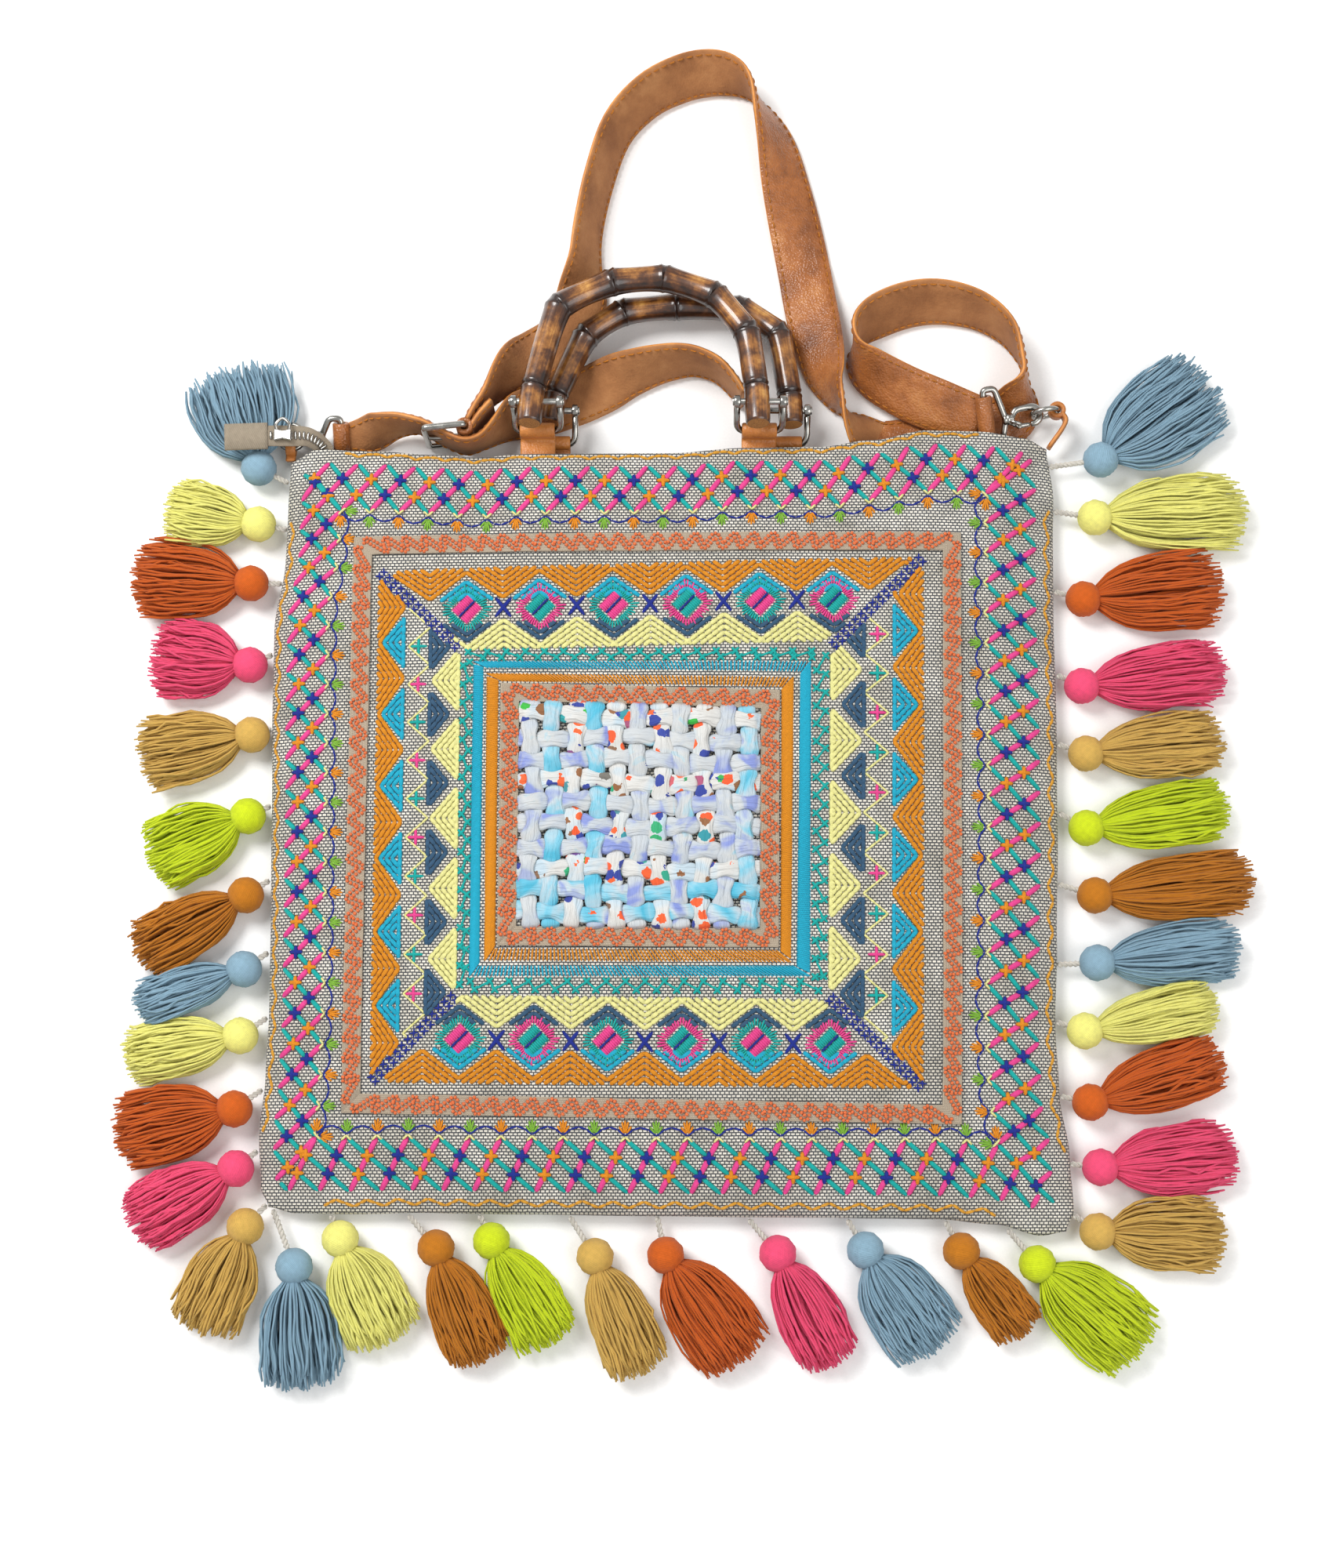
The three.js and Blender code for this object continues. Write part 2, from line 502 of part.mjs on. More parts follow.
function canvasBody() {
  const count = POUCH.points.length;
  const triangles = [...POUCH.triangles];
  for (const [a, b, c] of POUCH.triangles) triangles.push([a + count, c + count, b + count]);
  const lip = [];
  for (let i = 0; i <= CELLS_ACROSS; i += 1) lip.push(POUCH.front[i][CELLS_UP]);
  for (let i = CELLS_ACROSS - 1; i > 0; i -= 1) lip.push(POUCH.back[i][CELLS_UP]);
  lip.forEach((a, k) => {
    const b = lip[(k + 1) % lip.length];
    triangles.push([a, a + count, b + count], [a, b + count, b]);
  });
  // The lip strip must run against the front grid's own edge direction
  const edge = new Set(POUCH.triangles.flatMap(([a, b, c]) => [`${a}_${b}`, `${b}_${c}`, `${c}_${a}`]));
  const sameWay = edge.has(`${lip[1]}_${lip[0]}`);
  const body = triangles.slice(0, triangles.length - lip.length * 2);
  const strip = triangles.slice(triangles.length - lip.length * 2);
  const turned = sameWay ? strip.map(([a, b, c]) => [a, c, b]) : strip;
  return solid([...POUCH.points, ...INNER], [...body, ...turned]);
}

// Height of the faceted front under a plan position
function frontZ(x, y) {
  const a = V(0, 0, 0);
  for (const t of POUCH.triangles) {
    const [p, q, r] = t.map((k) => POUCH.points[k]);
    const area = (q.x - p.x) * (r.y - p.y) - (r.x - p.x) * (q.y - p.y);
    if (area <= 0) continue;
    a.x = ((q.x - x) * (r.y - y) - (r.x - x) * (q.y - y)) / area;
    a.y = ((r.x - x) * (p.y - y) - (p.x - x) * (r.y - y)) / area;
    a.z = 1 - a.x - a.y;
    if (a.x >= -1e-6 && a.y >= -1e-6 && a.z >= -1e-6) return a.x * p.z + a.y * q.z + a.z * r.z;
  }
  return RIM_Z;
}

// Flat ribbon sewn round a four-cornered frame
function frameRibbon(corners, steps) {
  const middle = corners.reduce((s, c) => [s[0] + c[0] / 4, s[1] + c[1] / 4], [0, 0]);
  const inner = corners.map(([x, y]) => [
    x - TRIM_WIDTH * Math.sign(x - middle[0]),
    y - TRIM_WIDTH * Math.sign(y - middle[1]),
  ]);
  const rings = [];
  for (let c = 0; c < 4; c += 1) {
    for (let k = 0; k < steps; k += 1) {
      const at = (list, i) => lerp(list[c][i], list[(c + 1) % 4][i], k / steps);
      const [ox, oy, ix, iy] = [at(corners, 0), at(corners, 1), at(inner, 0), at(inner, 1)];
      const oz = frontZ(ox, oy) + GAP;
      const iz = frontZ(ix, iy) + GAP;
      rings.push([V(ox, oy, oz), V(ix, iy, iz), V(ix, iy, iz + TRIM_THICK), V(ox, oy, oz + TRIM_THICK)]);
    }
  }
  return loft(rings, true);
}

// Interlaced strips as one pillowed sheet: a crest on each crossing, a valley between crossings
function wovenPatch() {
  const at = (u, v, i) => lerp(lerp(PATCH[0][i], PATCH[1][i], u), lerp(PATCH[3][i], PATCH[2][i], u), v);
  const points = [];
  const put = (u, v, lift) => {
    const [x, y] = [at(u, v, 0), at(u, v, 1)];
    points.push(V(x, y, frontZ(x, y) + GAP + lift));
    return points.length - 1;
  };
  const top = [];
  const under = [];
  for (let i = 0; i <= PATCH_COLUMNS; i += 1) {
    top.push([]);
    under.push([]);
    for (let j = 0; j <= PATCH_ROWS; j += 1) {
      top[i].push(put(i / PATCH_COLUMNS, j / PATCH_ROWS, PATCH_VALLEY));
      under[i].push(put(i / PATCH_COLUMNS, j / PATCH_ROWS, 0));
    }
  }
  const triangles = [];
  for (let i = 0; i < PATCH_COLUMNS; i += 1) {
    for (let j = 0; j < PATCH_ROWS; j += 1) {
      const crest = put((i + 0.5) / PATCH_COLUMNS, (j + 0.5) / PATCH_ROWS, PATCH_CREST);
      const ring = [top[i][j], top[i + 1][j], top[i + 1][j + 1], top[i][j + 1]];
      ring.forEach((a, k) => triangles.push([a, ring[(k + 1) % 4], crest]));
      triangles.push([under[i][j], under[i + 1][j + 1], under[i + 1][j]]);
      triangles.push([under[i][j], under[i][j + 1], under[i + 1][j + 1]]);
    }
  }
  const rim = [];
  for (let i = 0; i < PATCH_COLUMNS; i += 1) rim.push([i, 0]);
  for (let j = 0; j < PATCH_ROWS; j += 1) rim.push([PATCH_COLUMNS, j]);
  for (let i = PATCH_COLUMNS; i > 0; i -= 1) rim.push([i, PATCH_ROWS]);
  for (let j = PATCH_ROWS; j > 0; j -= 1) rim.push([0, j]);
  rim.forEach(([i, j], k) => {
    const [m, n] = rim[(k + 1) % rim.length];
    triangles.push([under[i][j], under[m][n], top[m][n]], [under[i][j], top[m][n], top[i][j]]);
  });
  return solid(points, triangles);
}

// Point of a handle's plane in the bag's frame
function onHandle(handle, x, s, off = 0) {
  const a = rad(-handle.droop);
  return V(
    x,
    handle.pinY + s * Math.cos(a) - off * Math.sin(a),
    handle.pinZ + s * Math.sin(a) + off * Math.cos(a),
  );
}

// Bamboo bow: a ridge at each knot, a waist between knots, and a bore through each leg
function bambooHandle(handle) {
  const stations = [];
  handle.knots.forEach((k, i) => {
    const next = handle.knots[i + 1];
    stations.push(k);
    if (!next) return;
    const waist = Math.min(STEM_RADIUS, k.r, next.r);
    for (const t of [0.1, 0.9]) {
      stations.push({ x: lerp(k.x, next.x, t), s: lerp(k.s, next.s, t), r: waist });
    }
  });
  const rings = stations.map((k, i) => {
    const a = stations[Math.max(i - 1, 0)];
    const b = stations[Math.min(i + 1, stations.length - 1)];
    const long = Math.hypot(b.x - a.x, b.s - a.s);
    const side = [-(b.s - a.s) / long, (b.x - a.x) / long];
    return Array.from({ length: HANDLE_SIDES }, (_, n) => {
      const t = ((n + 0.5) / HANDLE_SIDES) * Math.PI * 2;
      const across = k.r * Math.cos(t);
      return onHandle(handle, k.x + side[0] * across, k.s + side[1] * across, k.r * Math.sin(t));
    });
  });
  const [first, last] = [handle.knots[0], handle.knots[handle.knots.length - 1]];
  const bore = (x) => rod(
    [onHandle(handle, x - PIN_BORE_HALF, 0), onHandle(handle, x + PIN_BORE_HALF, 0)], PIN_RADIUS + PIN_PLAY, 8,
  );
  return loft(rings).subtract(bore(first.x)).subtract(bore(last.x));
}

// Shackle with its pin, in a plane that slopes down from the pin to the tab
function shackleAt(row, x, s, off = 0) {
  const a = rad(row.slope);
  return V(
    row.x + x,
    row.handle.pinY - s * Math.cos(a) - off * Math.sin(a),
    row.handle.pinZ - s * Math.sin(a) + off * Math.cos(a),
  );
}
function shackle(row) {
  const line = [[-BOW_HALF, 0], [-BOW_HALF, row.reach - BOW_CORNER]];
  for (const t of [45, 90]) {
    line.push([
      -BOW_HALF + BOW_CORNER - BOW_CORNER * Math.cos(rad(t)),
      row.reach - BOW_CORNER + BOW_CORNER * Math.sin(rad(t)),
    ]);
  }
  const half = line.map(([x, s]) => shackleAt(row, x, s));
  const other = line.map(([x, s]) => shackleAt(row, -x, s)).reverse();
  let whole = rod([...half, ...other], ROD, 6);
  whole = whole.add(rod([shackleAt(row, -BOW_HALF, 0), shackleAt(row, BOW_HALF, 0)], PIN_RADIUS, 6));
  for (const end of [-1, 1]) {
    const ear = [-EAR_HALF, EAR_HALF].map((d) => shackleAt(row, end * (BOW_HALF + d), 0));
    whole = whole.add(rod(ear, EAR_RADIUS, 6));
  }
  return whole;
}

// Leather tab: a tongue from inside the mouth and a flat loop round the bow of its shackle
function handleTab(row) {
  const slot = ROD + TAB_PLAY;
  const outer = slot + TAB_SKIN;
  const halfX = row.tabHalf;
  const ringAt = (x, radius, far) => {
    const ring = [];
    for (let k = 0; k < TAB_SIDES; k += 1) {
      const t = ((k + 0.5) / TAB_SIDES) * Math.PI * 2;
      const s = row.reach - TAB_SAG / 2 + radius * Math.cos(t) + (Math.cos(t) > 0 ? far : -far);
      ring.push(shackleAt(row, x - row.x + row.tabX, s, radius * Math.sin(t)));
    }
    return ring;
  };
  const far = TAB_SAG / 2 + TAB_EASE;
  const loop = loft([ringAt(-halfX, outer, far), ringAt(halfX, outer, far)]);
  const hole = loft([ringAt(-halfX - BORE_PAST, slot, far), ringAt(halfX + BORE_PAST, slot, far)]);
  const start = shackleAt(row, 0, row.reach + slot + TAB_START);
  const bend = shackleAt(row, 0, row.reach + slot + TAB_BEND);
  const line = [start, V(0, bend.y, row.tabZ), V(0, TAB_INSIDE_Y, row.tabZ)];
  const rings = line.map((p, i) => {
    const a = line[Math.max(i - 1, 0)];
    const b = line[Math.min(i + 1, line.length - 1)];
    const along = V(0, b.y - a.y, b.z - a.z).normalize();
    const up = V(0, -along.z, along.y).multiplyScalar(TAB_SKIN);
    return [[-1, -1], [1, -1], [1, 1], [-1, 1]].map(([x, k]) => (
      V(row.tabX + x * halfX, p.y + up.y * k, p.z + up.z * k)
    ));
  });
  return loop.add(loft(rings)).subtract(hole);
}

// Leather band along a table of sections; returns the solid and its section frames
function bandSections(rows) {
  return rows.map((row, i) => {
    const a = rows[Math.max(i - 1, 0)];
    const b = rows[Math.min(i + 1, rows.length - 1)];
    const along = V(b.x - a.x, b.y - a.y, 0).normalize();
    const left = V(-along.y, along.x, 0);
    const lean = rad(row.lean);
    const wide = (row.width ?? STRAP_WIDTH) / 2;
    const up = V(0, 0, Math.cos(lean)).addScaledVector(left, Math.sin(lean));
    const thick = V(0, 0, 0).crossVectors(along, up);
    const z = wide * Math.abs(Math.cos(lean)) + (STRAP_THICK / 2) * Math.abs(Math.sin(lean));
    return { at: V(row.x, row.y, z + row.lift), up, thick, along, wide };
  });
}
function band(sections) {
  return loft(sections.map(({ at, up, thick, wide }) => [[1, 1], [-1, 1], [-1, -1], [1, -1]].map(([w, t]) => (
    at.clone().addScaledVector(up, w * wide).addScaledVector(thick, (t * STRAP_THICK) / 2)
  ))));
}

// Snap hook in its own frame: a along the hook, b across it, w along the strap's bar
function hookFrame(hook) {
  const turn = rad(hook.turn);
  const along = V(Math.cos(turn), Math.sin(turn), 0);
  const travel = along.clone().multiplyScalar(hook === RIGHT_HOOK ? -1 : 1);
  const left = V(-travel.y, travel.x, 0);
  const lean = rad(hook === RIGHT_HOOK ? hook.barLean : -hook.barLean);
  const bar = V(0, 0, Math.cos(lean)).addScaledVector(left, Math.sin(lean));
  const across = hook === RIGHT_HOOK ? V(-along.y, along.x, 0) : V(0, 0, 1);
  const at = (a, b, w = 0) => V(hook.x, hook.y, hook.z)
    .addScaledVector(along, a).addScaledVector(across, b).addScaledVector(bar, w);
  return { at, bar, along, across };
}
function snapHook(hook, shut) {
  const { at } = hookFrame(hook);
  const c = hook.crook;
  const h = hook.barHalf;
  const far = hook.reach;
  let whole = rod(HOOK_LOOP.map(([a, w]) => at(a, 0, w * h)), BAR, 6, true);
  whole = whole.add(rod([at(BARREL.from, 0), at(BARREL.to, 0)], BARREL.radius, 8));
  const crook = CROOK_START.map(([a, share]) => at(a, c * share));
  for (const t of CROOK_TURNS) {
    crook.push(at(far + c * Math.cos(rad(t)), c * Math.sin(rad(t))));
  }
  crook.push(at(far - CROOK_SHORT, -c));
  whole = whole.add(rod(crook, HOOK_ROD, 6));
  if (shut) {
    const gate = [at(SHUT_GATE.from, 0), at(SHUT_GATE.bend, -c * SHUT_GATE.share), at(far, -c)];
    return whole.add(rod(gate, SHUT_GATE.radius, 6));
  }
  // Two ears of the barrel hold the gate between them
  for (const side of [-1, 1]) {
    const low = at(GATE_EAR.from, -GATE_EAR.drop).add(V(0, 0, side * GATE_EAR.fromSide));
    const high = at(GATE_EAR.to, -c).add(V(0, 0, side * GATE_EAR.toSide));
    whole = whole.add(rod([low, high], GATE_EAR.radius, 6));
  }
  return whole;
}
function hookGate(hook) {
  const { at } = hookFrame(hook);
  const c = hook.crook;
  const pivot = at(GATE.pivot, -c);
  const lever = rod([pivot, at(hook.reach - GATE.short, -c)], GATE.radius, 6);
  const pin = [-1, 1].map((side) => pivot.clone().add(V(0, 0, side * GATE.pinHalf)));
  return lever.add(rod(pin, GATE.pinRadius, 6));
}

// Ring held in the crook of a hook
function hookRing(hook, radius) {
  const { at, along, across } = hookFrame(hook);
  const other = V(0, 0, 0).crossVectors(across, along);
  const middle = at(hook.reach + radius, 0);
  const points = Array.from({ length: RING_POINTS }, (_, k) => {
    const t = (k / RING_POINTS) * Math.PI * 2;
    return middle.clone().addScaledVector(along, radius * Math.cos(t)).addScaledVector(other, radius * Math.sin(t));
  });
  return { ring: rod(points, RING_ROD, 6, true), middle, along, other };
}

// Leather tab round a ring: a fold round the ring's rod and a tongue to the bag's corner
function ringTab(at, axis, half, line) {
  const fold = eye(at, axis, half, RING_TAB.eyeOut, RING_TAB.eyeIn);
  const rings = line.map((p, i) => {
    const a = line[Math.max(i - 1, 0)];
    const b = line[Math.min(i + 1, line.length - 1)];
    const along = b.clone().sub(a).normalize();
    const thick = V(0, 0, 0).crossVectors(along, axis).normalize();
    return [[1, 1], [-1, 1], [-1, -1], [1, -1]].map(([w, t]) => (
      p.clone().addScaledVector(axis, w * half).addScaledVector(thick, t * RING_TAB.halfThick)
    ));
  });
  return fold.skin.add(loft(rings)).subtract(fold.bore);
}

// Zip: a tape inside each lip, joined at the left into the tail with its folded cloth end
function zipTape() {
  const strip = (grid, side) => {
    const rings = [];
    for (let i = 1; i < CELLS_ACROSS && INNER[grid[i][CELLS_UP]].x < ZIP_RIGHT; i += 1) {
      const lip = INNER[grid[i][CELLS_UP]];
      const inside = INNER[grid[i][CELLS_UP - 1]];
      const share = (d) => d / Math.max(1, lip.y - inside.y);
      const near = lip.clone().lerp(inside, share(1));
      const far = lip.clone().lerp(inside, share(ZIP_TAPE_WIDTH));
      const a = side * ZIP_CLEAR;
      const b = side * (ZIP_CLEAR + ZIP_TAPE_THICK);
      rings.push([[near, a], [far, a], [far, b], [near, b]].map(([p, d]) => V(p.x, p.y, p.z + d)));
    }
    return loft(rings);
  };
  const tail = loft(ZIP_TAIL.map((row, i) => {
    const a = ZIP_TAIL[Math.max(i - 1, 0)];
    const b = ZIP_TAIL[Math.min(i + 1, ZIP_TAIL.length - 1)];
    const along = V(b.x - a.x, b.y - a.y, b.z - a.z).normalize();
    const side = V(along.y, -along.x, 0).normalize();
    const up = V(0, 0, 0).crossVectors(side, along);
    return [[1, 1], [-1, 1], [-1, -1], [1, -1]].map(([w, t]) => V(row.x, row.y, row.z)
      .addScaledVector(side, w * row.half).addScaledVector(up, (t * row.thick) / 2));
  }));
  const joint = (from, to) => rod([from, to], ZIP_JOINT.radius, 6);
  const first = (grid) => INNER[grid[2][CELLS_UP]].clone().lerp(INNER[grid[2][CELLS_UP - 1]], 0.5);
  const meet = V(ZIP_TAIL[0].x, ZIP_TAIL[0].y, ZIP_TAIL[0].z);
  const upper = first(POUCH.front).add(V(0, 0, -ZIP_JOINT.inside));
  const lower = first(POUCH.back).add(V(0, 0, ZIP_JOINT.inside));
  return strip(POUCH.front, -1).add(strip(POUCH.back, 1)).add(tail)
    .add(joint(upper, meet)).add(joint(lower, meet));
}
// Slider: a short block with a bent wire pull
function zipSlider() {
  const body = loft([-1, 1].map((end) => [[1, 1], [-1, 1], [-1, -1], [1, -1]].map(([w, t]) => V(
    SLIDER.x + (end * SLIDER.long) / 2,
    SLIDER.y + (w * SLIDER.wide) / 2,
    SLIDER.z + (t * SLIDER.tall) / 2,
  ))));
  const pull = PULL_BEND.map(({ x, y, z }) => V(SLIDER.x + x, SLIDER.y + y, SLIDER.z + z));
  return body.add(rod(pull, PULL_ROD, 6));
}

// Where a cord that runs from a tassel's head towards the bag meets the seam, less a small gap
const SEAM = [];
for (let j = CELLS_UP; j > 0; j -= 1) SEAM.push(POUCH.points[POUCH.front[0][j]]);
for (let i = 0; i < CELLS_ACROSS; i += 1) SEAM.push(POUCH.points[POUCH.front[i][0]]);
for (let j = 0; j <= CELLS_UP; j += 1) SEAM.push(POUCH.points[POUCH.front[CELLS_ACROSS][j]]);
function cordStart(row) {
  const run = [row.cordX - row.x, row.cordY - row.y];
  const long = Math.hypot(run[0], run[1]);
  let best = null;
  for (let k = 0; k < SEAM.length - 1; k += 1) {
    const [a, b] = [SEAM[k], SEAM[k + 1]];
    const edge = [b.x - a.x, b.y - a.y];
    const cross = run[0] * edge[1] - run[1] * edge[0];
    const t = ((a.x - row.x) * edge[1] - (a.y - row.y) * edge[0]) / cross;
    const u = ((a.x - row.x) * run[1] - (a.y - row.y) * run[0]) / cross;
    const square = Math.abs(cross) / (long * Math.hypot(edge[0], edge[1]));
    const slack = (CORD_GAP + CORD_RADIUS * Math.sqrt(1 - square * square)) / square;
    if (t > 0 && u >= 0 && u <= 1 && (!best || t < best.t)) best = { t, slack };
  }
  const share = best.t - best.slack / long;
  return V(row.x + run[0] * share, row.y + run[1] * share, RIM_Z + CORD_RISE);
}

// Tassel: twisted cord, wound head and a skirt of locks that fan out flat on the floor
function tassel(row) {
  const turn = rad(row.heading);
  const along = V(Math.cos(turn), Math.sin(turn), 0);
  const side = V(-along.y, along.x, 0);
  const head = V(row.x, row.y, HEAD_RADIUS + FLOOR_PLAY);
  const ringAt = (middle, across, high, wide, tall) => Array.from({ length: TASSEL_SIDES }, (_, k) => {
    const t = ((k + 0.5) / TASSEL_SIDES) * Math.PI * 2;
    return middle.clone().addScaledVector(across, wide * Math.cos(t)).addScaledVector(high, tall * Math.sin(t));
  });
  const rings = [];
  for (const t of HEAD_RINGS) {
    const r = HEAD_RADIUS * Math.cos(rad(t));
    rings.push(ringAt(head.clone().addScaledVector(along, HEAD_RADIUS * Math.sin(rad(t))), side, V(0, 0, 1), r, r));
  }
  const neck = HEAD_RADIUS * NECK_SHARE;
  const skirt = row.length - neck;
  SKIRT.forEach((section, i) => {
    const middle = head.clone().addScaledVector(along, neck + section.at * skirt);
    const tall = section.thick;
    middle.z = Math.max(tall + FLOOR_PLAY, lerp(head.z, tall + FLOOR_PLAY, section.at));
    const ring = ringAt(middle, side, V(0, 0, 1), row.half * section.width, tall);
    rings.push(ring.map((p, k) => {
      const dip = k % 2 === 0 ? 1 - section.lock : 1;
      const q = middle.clone().lerp(p, dip);
      if (i === SKIRT.length - 1) q.addScaledVector(along, k % 2 === 0 ? -LOCK_STAGGER : 0);
      return q;
    }));
  });
  const start = cordStart(row);
  const end = head.clone().lerp(start, (HEAD_RADIUS * CORD_SINK) / head.distanceTo(start));
  const cord = rod([start, end], CORD_RADIUS, 4);
  return loft(rings).add(cord);
}

// Assembly
const group = new THREE.Group();
group.name = 'embroidered_canvas_bag';
function place(name, made, colour, metal = 0) {
  const mesh = made.getMesh();
  const geometry = new THREE.BufferGeometry();
  const flat = [];
  const stride = mesh.numProp;
  for (let i = 0; i < mesh.vertProperties.length; i += stride) flat.push(...mesh.vertProperties.slice(i, i + 3));
  geometry.setAttribute('position', new THREE.Float32BufferAttribute(flat, 3));
  geometry.setIndex([...mesh.triVerts]);
  geometry.computeVertexNormals();
  const material = new THREE.MeshStandardMaterial({ color: COLOURS[colour], metalness: metal, roughness: 0.7 });
  const node = new THREE.Mesh(geometry, material);
  node.name = name;
  group.add(node);
}

place('canvas_body', canvasBody(), 'canvas');
place('outer_trim', frameRibbon(OUTER_TRIM, 10), 'trim');
place('inner_trim', frameRibbon(INNER_TRIM, 6), 'trim');
place('woven_patch', wovenPatch(), 'patch');
place('zip_tape', zipTape(), 'zip');
place('zip_slider', zipSlider(), 'metal', 1);
place('front_handle', bambooHandle(FRONT_HANDLE), 'bamboo');
place('rear_handle', bambooHandle(REAR_HANDLE), 'bamboo');
for (const row of SHACKLES) {
  place(row.name, shackle(row), 'metal', 1);
  place(row.tab, handleTab(row), 'leather');
}

// Strap ends fold round the hook bars and the buckle bar
const buckleBar = V(BUCKLE.right, BUCKLE.rightY, (BUCKLE.bottom + BUCKLE.top) / 2);
const prongRoom = rod([
  V(BUCKLE.right + PRONG_ROOM.right, BUCKLE.rightY, BUCKLE.prongZ),
  V(BUCKLE.left - PRONG_ROOM.left, BUCKLE.leftY, BUCKLE.prongZ),
], PRONG_RADIUS + PRONG_PLAY, 6);
const rightFrame = hookFrame(RIGHT_HOOK);
const rightEye = eye(rightFrame.at(0, 0), rightFrame.bar, STRAP_WIDTH / 2, EYE_OUT, EYE_IN);
const buckleEye = eye(buckleBar, V(0, 0, 1), STRAP_WIDTH / 2, EYE_OUT, EYE_IN);
const longSections = bandSections(LONG_STRAP);
const foldedBack = bandSections(FOLDED_BACK.map((row) => ({ ...row, lean: 0, lift: FOLD_LIFT })));
place('strap_long', band(longSections).add(rightEye.skin).add(buckleEye.skin).add(band(foldedBack))
  .subtract(rightEye.bore).subtract(buckleEye.bore).subtract(prongRoom), 'leather');
const leftFrame = hookFrame(LEFT_HOOK);
const leftEye = eye(leftFrame.at(0, 0), leftFrame.bar, LEFT_EYE_HALF, EYE_OUT, EYE_IN);
place('strap_short', band(bandSections(SHORT_STRAP)).add(leftEye.skin).subtract(leftEye.bore)
  .subtract(prongRoom), 'leather');
// Frame corners, each cut by a short slanting run
const buckleLine = [
  [BUCKLE.right, BUCKLE.rightY, BUCKLE.bottom, 0, 1], [BUCKLE.right, BUCKLE.rightY, BUCKLE.top, 0, -1],
  [BUCKLE.right, BUCKLE.rightY, BUCKLE.top, -1, 0], [BUCKLE.left, BUCKLE.leftY, BUCKLE.top, 1, 0],
  [BUCKLE.left, BUCKLE.leftY, BUCKLE.top, 0, -1], [BUCKLE.left, BUCKLE.leftY, BUCKLE.bottom, 0, 1],
  [BUCKLE.left, BUCKLE.leftY, BUCKLE.bottom, 1, 0], [BUCKLE.right, BUCKLE.rightY, BUCKLE.bottom, -1, 0],
].map(([x, y, z, inX, inZ]) => V(x + inX * BUCKLE.corner, y, z + inZ * BUCKLE.corner));
const buckleFrame = rod(buckleLine, BAR, 6, true);
const prong = rod([
  V(BUCKLE.right, BUCKLE.rightY, BUCKLE.prongZ), V(BUCKLE.left - PRONG_PAST, BUCKLE.leftY, BUCKLE.prongZ),
], PRONG_RADIUS, 6);
place('strap_buckle', buckleFrame.add(prong), 'metal', 1);

place('right_hook', snapHook(RIGHT_HOOK, false), 'metal', 1);
place('right_hook_gate', hookGate(RIGHT_HOOK), 'metal', 1);
const rightRing = hookRing(RIGHT_HOOK, RIGHT_RING.radius);
place('right_ring', rightRing.ring, 'metal', 1);
const rightFar = rightRing.middle.clone().addScaledVector(rightRing.along, RIGHT_RING.tabAt);
place('right_ring_tab', ringTab(rightFar, V(0, 0, 1), RIGHT_RING.tabHalf, [
  rightFar.clone().add(V(2.6, -1.5, 0)),
  rightFar.clone().add(V(4, -7, 0)),
  V(RIGHT_TAB_END.x, RIGHT_TAB_END.y, RIGHT_TAB_END.z),
]), 'leather');
place('left_hook', snapHook(LEFT_HOOK, true), 'metal', 1);
const leftRing = hookRing(LEFT_HOOK, LEFT_RING.radius);
place('left_ring', leftRing.ring, 'metal', 1);
const leftWay = leftRing.other.y > 0 ? -1 : 1;
const leftFar = leftRing.middle.clone().addScaledVector(leftRing.other, leftWay * LEFT_RING.tabAt);
place('left_ring_tab', ringTab(leftFar, V(1, 0, 0), LEFT_RING.tabHalf, [
  leftFar.clone().add(V(0, -2.6, 0)),
  leftFar.clone().add(V(0, -7, 1)),
]), 'leather');

for (const row of TASSELS) place(`tassel_${row.name}`, tassel(row), row.name.split('_')[2]);

export default group;
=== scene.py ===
import math
import random
import bpy
import numpy as np
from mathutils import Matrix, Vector


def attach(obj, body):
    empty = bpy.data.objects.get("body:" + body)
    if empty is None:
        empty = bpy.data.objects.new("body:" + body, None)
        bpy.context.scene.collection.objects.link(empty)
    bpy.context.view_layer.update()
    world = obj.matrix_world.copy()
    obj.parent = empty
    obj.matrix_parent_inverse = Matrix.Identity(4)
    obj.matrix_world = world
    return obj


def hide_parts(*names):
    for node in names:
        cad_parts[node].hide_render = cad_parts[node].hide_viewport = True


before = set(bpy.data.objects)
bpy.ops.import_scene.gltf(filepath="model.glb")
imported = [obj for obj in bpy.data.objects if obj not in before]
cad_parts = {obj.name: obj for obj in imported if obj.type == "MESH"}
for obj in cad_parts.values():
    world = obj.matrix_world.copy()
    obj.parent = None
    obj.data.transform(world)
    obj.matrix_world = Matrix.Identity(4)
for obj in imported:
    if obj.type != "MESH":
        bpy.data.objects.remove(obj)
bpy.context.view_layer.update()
bpy.ops.object.select_all(action="DESELECT")

# Units: the tables below are in millimetres, and Blender's are metres
MM = 0.001

# Canvas pouch: height of the side seam, crown of the front, lips of the mouth, wall
RIM_Z = 8.0
CROWN = 22.0
LIP_SHARE = 0.6
REAR_LIP_Z = 3.5
REAR_LIP_RUN = 14.0
REAR_RISE = 18.0
WALL = 1.6
POUCH_WIDE = 401.0
POUCH_TALL = 392.0
CELLS_ACROSS = 150
CELLS_UP = 140
EDGE_CROWD = 0.65
SEAM_WELD = 0.05
# How square the filled pouch is in section, and how steeply it falls to the seam
PUFF_SQUARE = 3.5
PUFF_FALL = 0.55
# Ripple of the cloth: height, then length, length across and sway of its two waves
RIPPLE = 0.35
RIPPLES = ((17, 31, 1.3), (19, 27, 1.1))

